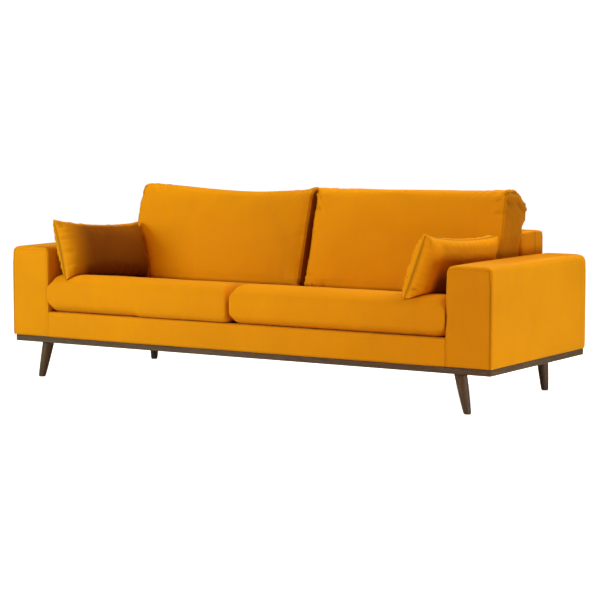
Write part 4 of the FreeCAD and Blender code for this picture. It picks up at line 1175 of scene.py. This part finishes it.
def turned_leg(name):
    """A turned leg: a slight swelling down its length, a rounded foot, grain along its axis."""
    source = get_points(frame["nodes"][name])
    z_low, z_high = source[:, 2].min(), source[:, 2].max()
    foot, foot_radius = leg_ring(source, z_low)
    top, top_radius = leg_ring(source, z_high)
    tread = foot_radius - LEG_EDGE
    rings = [(0.0, tread)]
    for angle in np.linspace(0.3, math.pi / 2, 4):
        rings.append((LEG_EDGE * (1 - math.cos(angle)), tread + LEG_EDGE * math.sin(angle)))
    height = z_high - z_low
    for share in np.linspace(0.08, 1.0, 14):
        radius = foot_radius + (top_radius - foot_radius) * share
        rings.append((height * share, radius + LEG_SWELL * hump(share, 0, 1)))
    points = []
    for rise, radius in rings:
        centre = foot + (top - foot) * rise / height
        for turn in np.linspace(0, 2 * math.pi, LEG_SIDES, endpoint=False):
            across, along = radius * math.cos(turn), radius * math.sin(turn)
            points.append((centre[0] + across, centre[1] + along, z_low + rise))
    tilt = math.atan2(top[0] - foot[0], height)
    finish = wood(f"walnut {name}", WALNUT_LIGHT, WALNUT_DARK, "Z", -tilt, band=0.012)
    piece = new_piece(f"{name}_turned", points, lofted(len(rings), LEG_SIDES), finish)
    for face in piece.data.polygons[-2:]:
        face.use_smooth = False
    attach(piece, BODY)
    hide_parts(name)


# ---------------------------------------------------------------- cloths under and inside the seat

CORNER_NOTCH = (190 * MM, 80 * MM)
CLOTH_CELL = 24 * MM
STAPLES = {"Spacing": 0.048, "Crown": 0.010, "Wire": 0.0006, "Skew": 0.2, "Seed": 7}


def stretched_cloth(name, node, holes, sag, thickness):
    """A cloth pulled tight between rails, a little slack in the middle. holes: corners cut away."""
    low, high = node_span(node)
    level = (low[2] + high[2]) / 2
    cut_x = [x for hole in holes for x in (hole[0][0], hole[1][0]) if low[0] < x < high[0]]
    cut_y = [y for hole in holes for y in (hole[0][1], hole[1][1]) if low[1] < y < high[1]]
    xs = marks(low[0], high[0], CLOTH_CELL, sorted({round(x, 6) for x in cut_x}))
    ys = marks(low[1], high[1], CLOTH_CELL, sorted({round(y, 6) for y in cut_y}))
    points = np.array([(x, y, level) for x in xs for y in ys])
    faces, area = [], 0.0
    for i in range(len(xs) - 1):
        for j in range(len(ys) - 1):
            x, y = (xs[i] + xs[i + 1]) / 2, (ys[j] + ys[j + 1]) / 2
            if any(a[0] < x < b[0] and a[1] < y < b[1] for a, b in holes):
                continue
            a = i * len(ys) + j
            faces.append([a, a + len(ys), a + len(ys) + 1, a + 1])
            area += (xs[i + 1] - xs[i]) * (ys[j + 1] - ys[j])
    slack = hump(points[:, 0], low[0], high[0]) ** 0.5 * hump(points[:, 1], low[1], high[1]) ** 0.8
    points[:, 2] -= sag * slack * (1 + 0.35 * rumple(points, (0.22, 0.16, 1.0), 71))
    piece = new_piece(name, points, faces, FINISHES["lining_cloth"])
    with opened(piece.data) as mesh:
        loose = [vert for vert in mesh.verts if not vert.link_faces]
        bmesh.ops.delete(mesh, geom=loose, context="VERTS")
    solid = piece.modifiers.new("Thickness", "SOLIDIFY")
    solid.thickness = thickness
    solid.offset = 0.0
    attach(piece, BODY)
    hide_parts(node)
    return piece


def corner_holes():
    """The corners of the dust cover that the plinth's corner blocks and the leg plates stand in."""
    low, high = node_span("underside_dust_cover")
    holes = []
    for x_sign in (-1, 1):
        for y_sign in (-1, 1):
            corner = (high[0] if x_sign > 0 else low[0], high[1] if y_sign > 0 else low[1])
            inner = (corner[0] - x_sign * CORNER_NOTCH[0], corner[1] - y_sign * CORNER_NOTCH[1])
            holes.append((np.minimum(corner, inner), np.maximum(corner, inner)))
    return holes


def staple_tree():
    """Staples spaced along a path of edges, each turned a little by chance."""
    tree, start, end = new_group(
        "staples along a path",
        {
            "Geometry": ("geometry", None),
            "Spacing": ("number", 0.05),
            "Crown": ("number", 0.010),
            "Wire": ("number", 0.0006),
            "Skew": ("number", 0.15),
            "Seed": ("count", 4),
            "Metal": ("material", None),
        },
        {"Geometry": "geometry"},
        "GeometryNodeTree",
    )
    half = sums(tree, "MULTIPLY", start["Crown"], 0.5)
    left = add(tree, "ShaderNodeCombineXYZ", {0: sums(tree, "MULTIPLY", half, -1.0)}).outputs[0]
    right = add(tree, "ShaderNodeCombineXYZ", {0: half}).outputs[0]
    crown = add(tree, "GeometryNodeCurvePrimitiveLine", {"Start": left, "End": right}).outputs["Curve"]
    round_wire = add(tree, "GeometryNodeCurvePrimitiveCircle", {"Resolution": 8, "Radius": start["Wire"]})
    staple = add(
        tree, "GeometryNodeCurveToMesh",
        {"Curve": crown, "Profile Curve": round_wire.outputs["Curve"], "Fill Caps": True},
    ).outputs["Mesh"]
    path = add(tree, "GeometryNodeMeshToCurve", {"Mesh": start["Geometry"]}).outputs["Curve"]
    spots = add(tree, "GeometryNodeResampleCurve", {"Curve": path, "Length": start["Spacing"]}, mode="LENGTH")
    tangent = tree.nodes.new("GeometryNodeInputTangent").outputs["Tangent"]
    facing = add(tree, "FunctionNodeAlignRotationToVector", {"Vector": tangent}, axis="X").outputs["Rotation"]
    chance = add(
        tree, "FunctionNodeRandomValue",
        {2: sums(tree, "MULTIPLY", start["Skew"], -1.0), 3: start["Skew"], "Seed": start["Seed"]},
        data_type="FLOAT",
    ).outputs[1]
    skewed = add(
        tree, "FunctionNodeRotateRotation",
        {"Rotation": facing, "Rotate By": add(tree, "ShaderNodeCombineXYZ", {2: chance}).outputs[0]},
    ).outputs["Rotation"]
    placed = add(
        tree, "GeometryNodeInstanceOnPoints",
        {"Points": spots.outputs["Curve"], "Instance": staple, "Rotation": skewed},
    ).outputs["Instances"]
    solid = add(tree, "GeometryNodeRealizeInstances", {"Geometry": placed}).outputs["Geometry"]
    finished = add(tree, "GeometryNodeSetMaterial", {"Geometry": solid, "Material": start["Metal"]})
    tree.links.new(finished.outputs["Geometry"], end.inputs["Geometry"])
    return tree


def staples_round(node, inset):
    """Staples through the dust cover into the rails above it, a little in from its edge."""
    low, high = node_span(node)
    reach_x, reach_y = CORNER_NOTCH
    x, y = high[0] - inset, high[1] - inset
    notch_x, notch_y = high[0] - reach_x - inset, high[1] - reach_y - inset
    level = low[2] - 0.2 * MM
    quarter = [(x, notch_y), (notch_x, notch_y), (notch_x, y)]
    corners = quarter + [(-a, b) for a, b in reversed(quarter)]
    corners += [(-a, -b) for a, b in quarter] + [(a, -b) for a, b in reversed(quarter)]
    mesh = bpy.data.meshes.new("staple_path")
    count = len(corners)
    mesh.from_pydata([(a, b, level) for a, b in corners], [(i, (i + 1) % count) for i in range(count)], [])
    path = add_object("staple_path", mesh)
    nodes = path.modifiers.new("Staples", "NODES")
    nodes.node_group = staple_tree()
    sockets = nodes.node_group.interface.items_tree
    named = {item.name: item.identifier for item in sockets if item.in_out == "INPUT"}
    for label, value in STAPLES.items():
        nodes[named[label]] = value
    nodes[named["Metal"]] = STEEL
    graph = bpy.context.evaluated_depsgraph_get()
    plain = bpy.data.meshes.new_from_object(path.evaluated_get(graph))
    bpy.data.objects.remove(path)
    piece = add_object("dust_cover_staples", plain)
    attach(piece, BODY)


# ---------------------------------------------------------------- stage


def make_stage():
    """A white floor that curves up into a backdrop far behind."""
    material, tree, shader, place = new_material("white floor")
    speckle = spread(tree, noise_at(tree, place, 3.0, 2.0), 0.2, 0.8)
    colour = blend_colours(tree, speckle, (0.80, 0.80, 0.80, 1), (0.83, 0.83, 0.83, 1))
    seen = tree.nodes.new("ShaderNodeLightPath").outputs["Is Camera Ray"]
    glow = sums(tree, "MULTIPLY", seen, 1.0)
    link_or_set(tree, shader, {"Base Color": colour, "Roughness": 0.9, "Specular IOR Level": 0.1})
    link_or_set(tree, shader, {"Emission Color": (1, 1, 1, 1), "Emission Strength": glow})
    width, back, bend, wall = 30.0, 12.0, 5.0, 12.0
    profile = [(-20.0, 0.0)]
    quarter = np.linspace(0, math.pi / 2, 17)
    profile += [(back + bend * math.sin(a), bend - bend * math.cos(a)) for a in quarter]
    profile.append((back + bend, wall))
    turn = Matrix.Rotation(VIEW_TURN, 3, "Z")
    points = [turn @ Vector((x, y, z)) for y, z in profile for x in (-width, width)]
    faces = [[2 * i, 2 * i + 1, 2 * i + 3, 2 * i + 2] for i in range(len(profile) - 1)]
    new_piece("studio_floor", points, faces, material)


def make_camera():
    level = math.cos(VIEW_RISE)
    back = Vector((math.sin(VIEW_TURN) * level, -math.cos(VIEW_TURN) * level, math.sin(VIEW_RISE)))
    data = bpy.data.cameras.new("camera")
    data.lens = LENS_MM
    data.sensor_width = SENSOR_MM
    data.clip_end = 100
    camera = add_object("camera", data)
    facing = back.to_track_quat("Z", "Y").to_matrix().to_4x4()
    camera.matrix_world = Matrix.Translation(VIEW_TARGET + back * VIEW_DISTANCE) @ facing
    bpy.context.scene.camera = camera


def soft_light(name, place, aim, size, power, colour):
    data = bpy.data.lights.new(name, "AREA")
    data.shape = "RECTANGLE"
    data.size, data.size_y = size
    data.energy = power
    data.color = colour
    lamp = add_object(name, data)
    way = Vector(aim) - Vector(place)
    lamp.matrix_world = Matrix.Translation(place) @ way.to_track_quat("-Z", "Y").to_matrix().to_4x4()


def make_lights():
    soft_light("key", (-3.0, -4.3, 1.5), (-0.3, -0.2, 0.45), (1.8, 1.8), 133, (0.86, 1.0, 1.0))
    soft_light("warm front", (1.5, -2.3, 0.6), (1.0, -0.4, 0.4), (0.9, 0.6), 5, (1.0, 0.08, 0.0))
    soft_light("side", (3.4, -0.3, 0.30), (1.15, 0.0, 0.36), (1.6, 0.45), 31, (0.94, 1.0, 1.0))
    soft_light("high front", (-0.8, -2.4, 3.1), (-0.3, 0.1, 0.6), (2.6, 1.2), 52, (1.0, 0.85, 0.4))
    soft_light("overhead", (1.0, 0.9, 2.9), (0.5, 0.0, 0.5), (2.8, 1.0), 84, (1.0, 0.9, 0.6))
    world = bpy.data.worlds.new("studio")
    world.use_nodes = True
    backdrop = world.node_tree.nodes["Background"]
    backdrop.inputs["Color"].default_value = (1.0, 1.0, 1.0, 1)
    seen = add(world.node_tree, "ShaderNodeLightPath", None).outputs["Is Camera Ray"]
    shown = spread(world.node_tree, seen, 0.0, 1.0, 0.03, 1.0)
    world.node_tree.links.new(shown, backdrop.inputs["Strength"])
    bpy.context.scene.world = world
    bpy.context.scene.view_settings.view_transform = "Standard"


# ---------------------------------------------------------------- assembly


def finish_frame_nodes():
    """Gives each CAD piece that still shows the finish of its slot."""
    slots = {part["node"]: part["material_slot"] for part in frame["record"]["subparts"]}
    for name, node in frame["nodes"].items():
        finish = FINISHES[slots[name]]
        if node.data.materials:
            for index in range(len(node.data.materials)):
                node.data.materials[index] = finish
        else:
            node.data.materials.append(finish)


make_camera()
make_lights()
make_stage()
finish_frame_nodes()
for rail, grain_way in {"front": "X", "rear": "X", "left": "Y", "right": "Y"}.items():
    plinth_rail(rail, grain_way)
for leg in ("leg_front_left", "leg_front_right", "leg_rear_left", "leg_rear_right"):
    turned_leg(leg)
front_panel()
backrest_cover()
for arm, arm_sign in SIDES.items():
    arm_cover(arm, arm_sign)
stretched_cloth("dust_cover_cambric", "underside_dust_cover", corner_holes(), 7 * MM, 0.6 * MM)
stretched_cloth("deck_cambric", "seat_deck_cloth", [], 5 * MM, 1.2 * MM)
staples_round("underside_dust_cover", 11 * MM)
make_cushions()
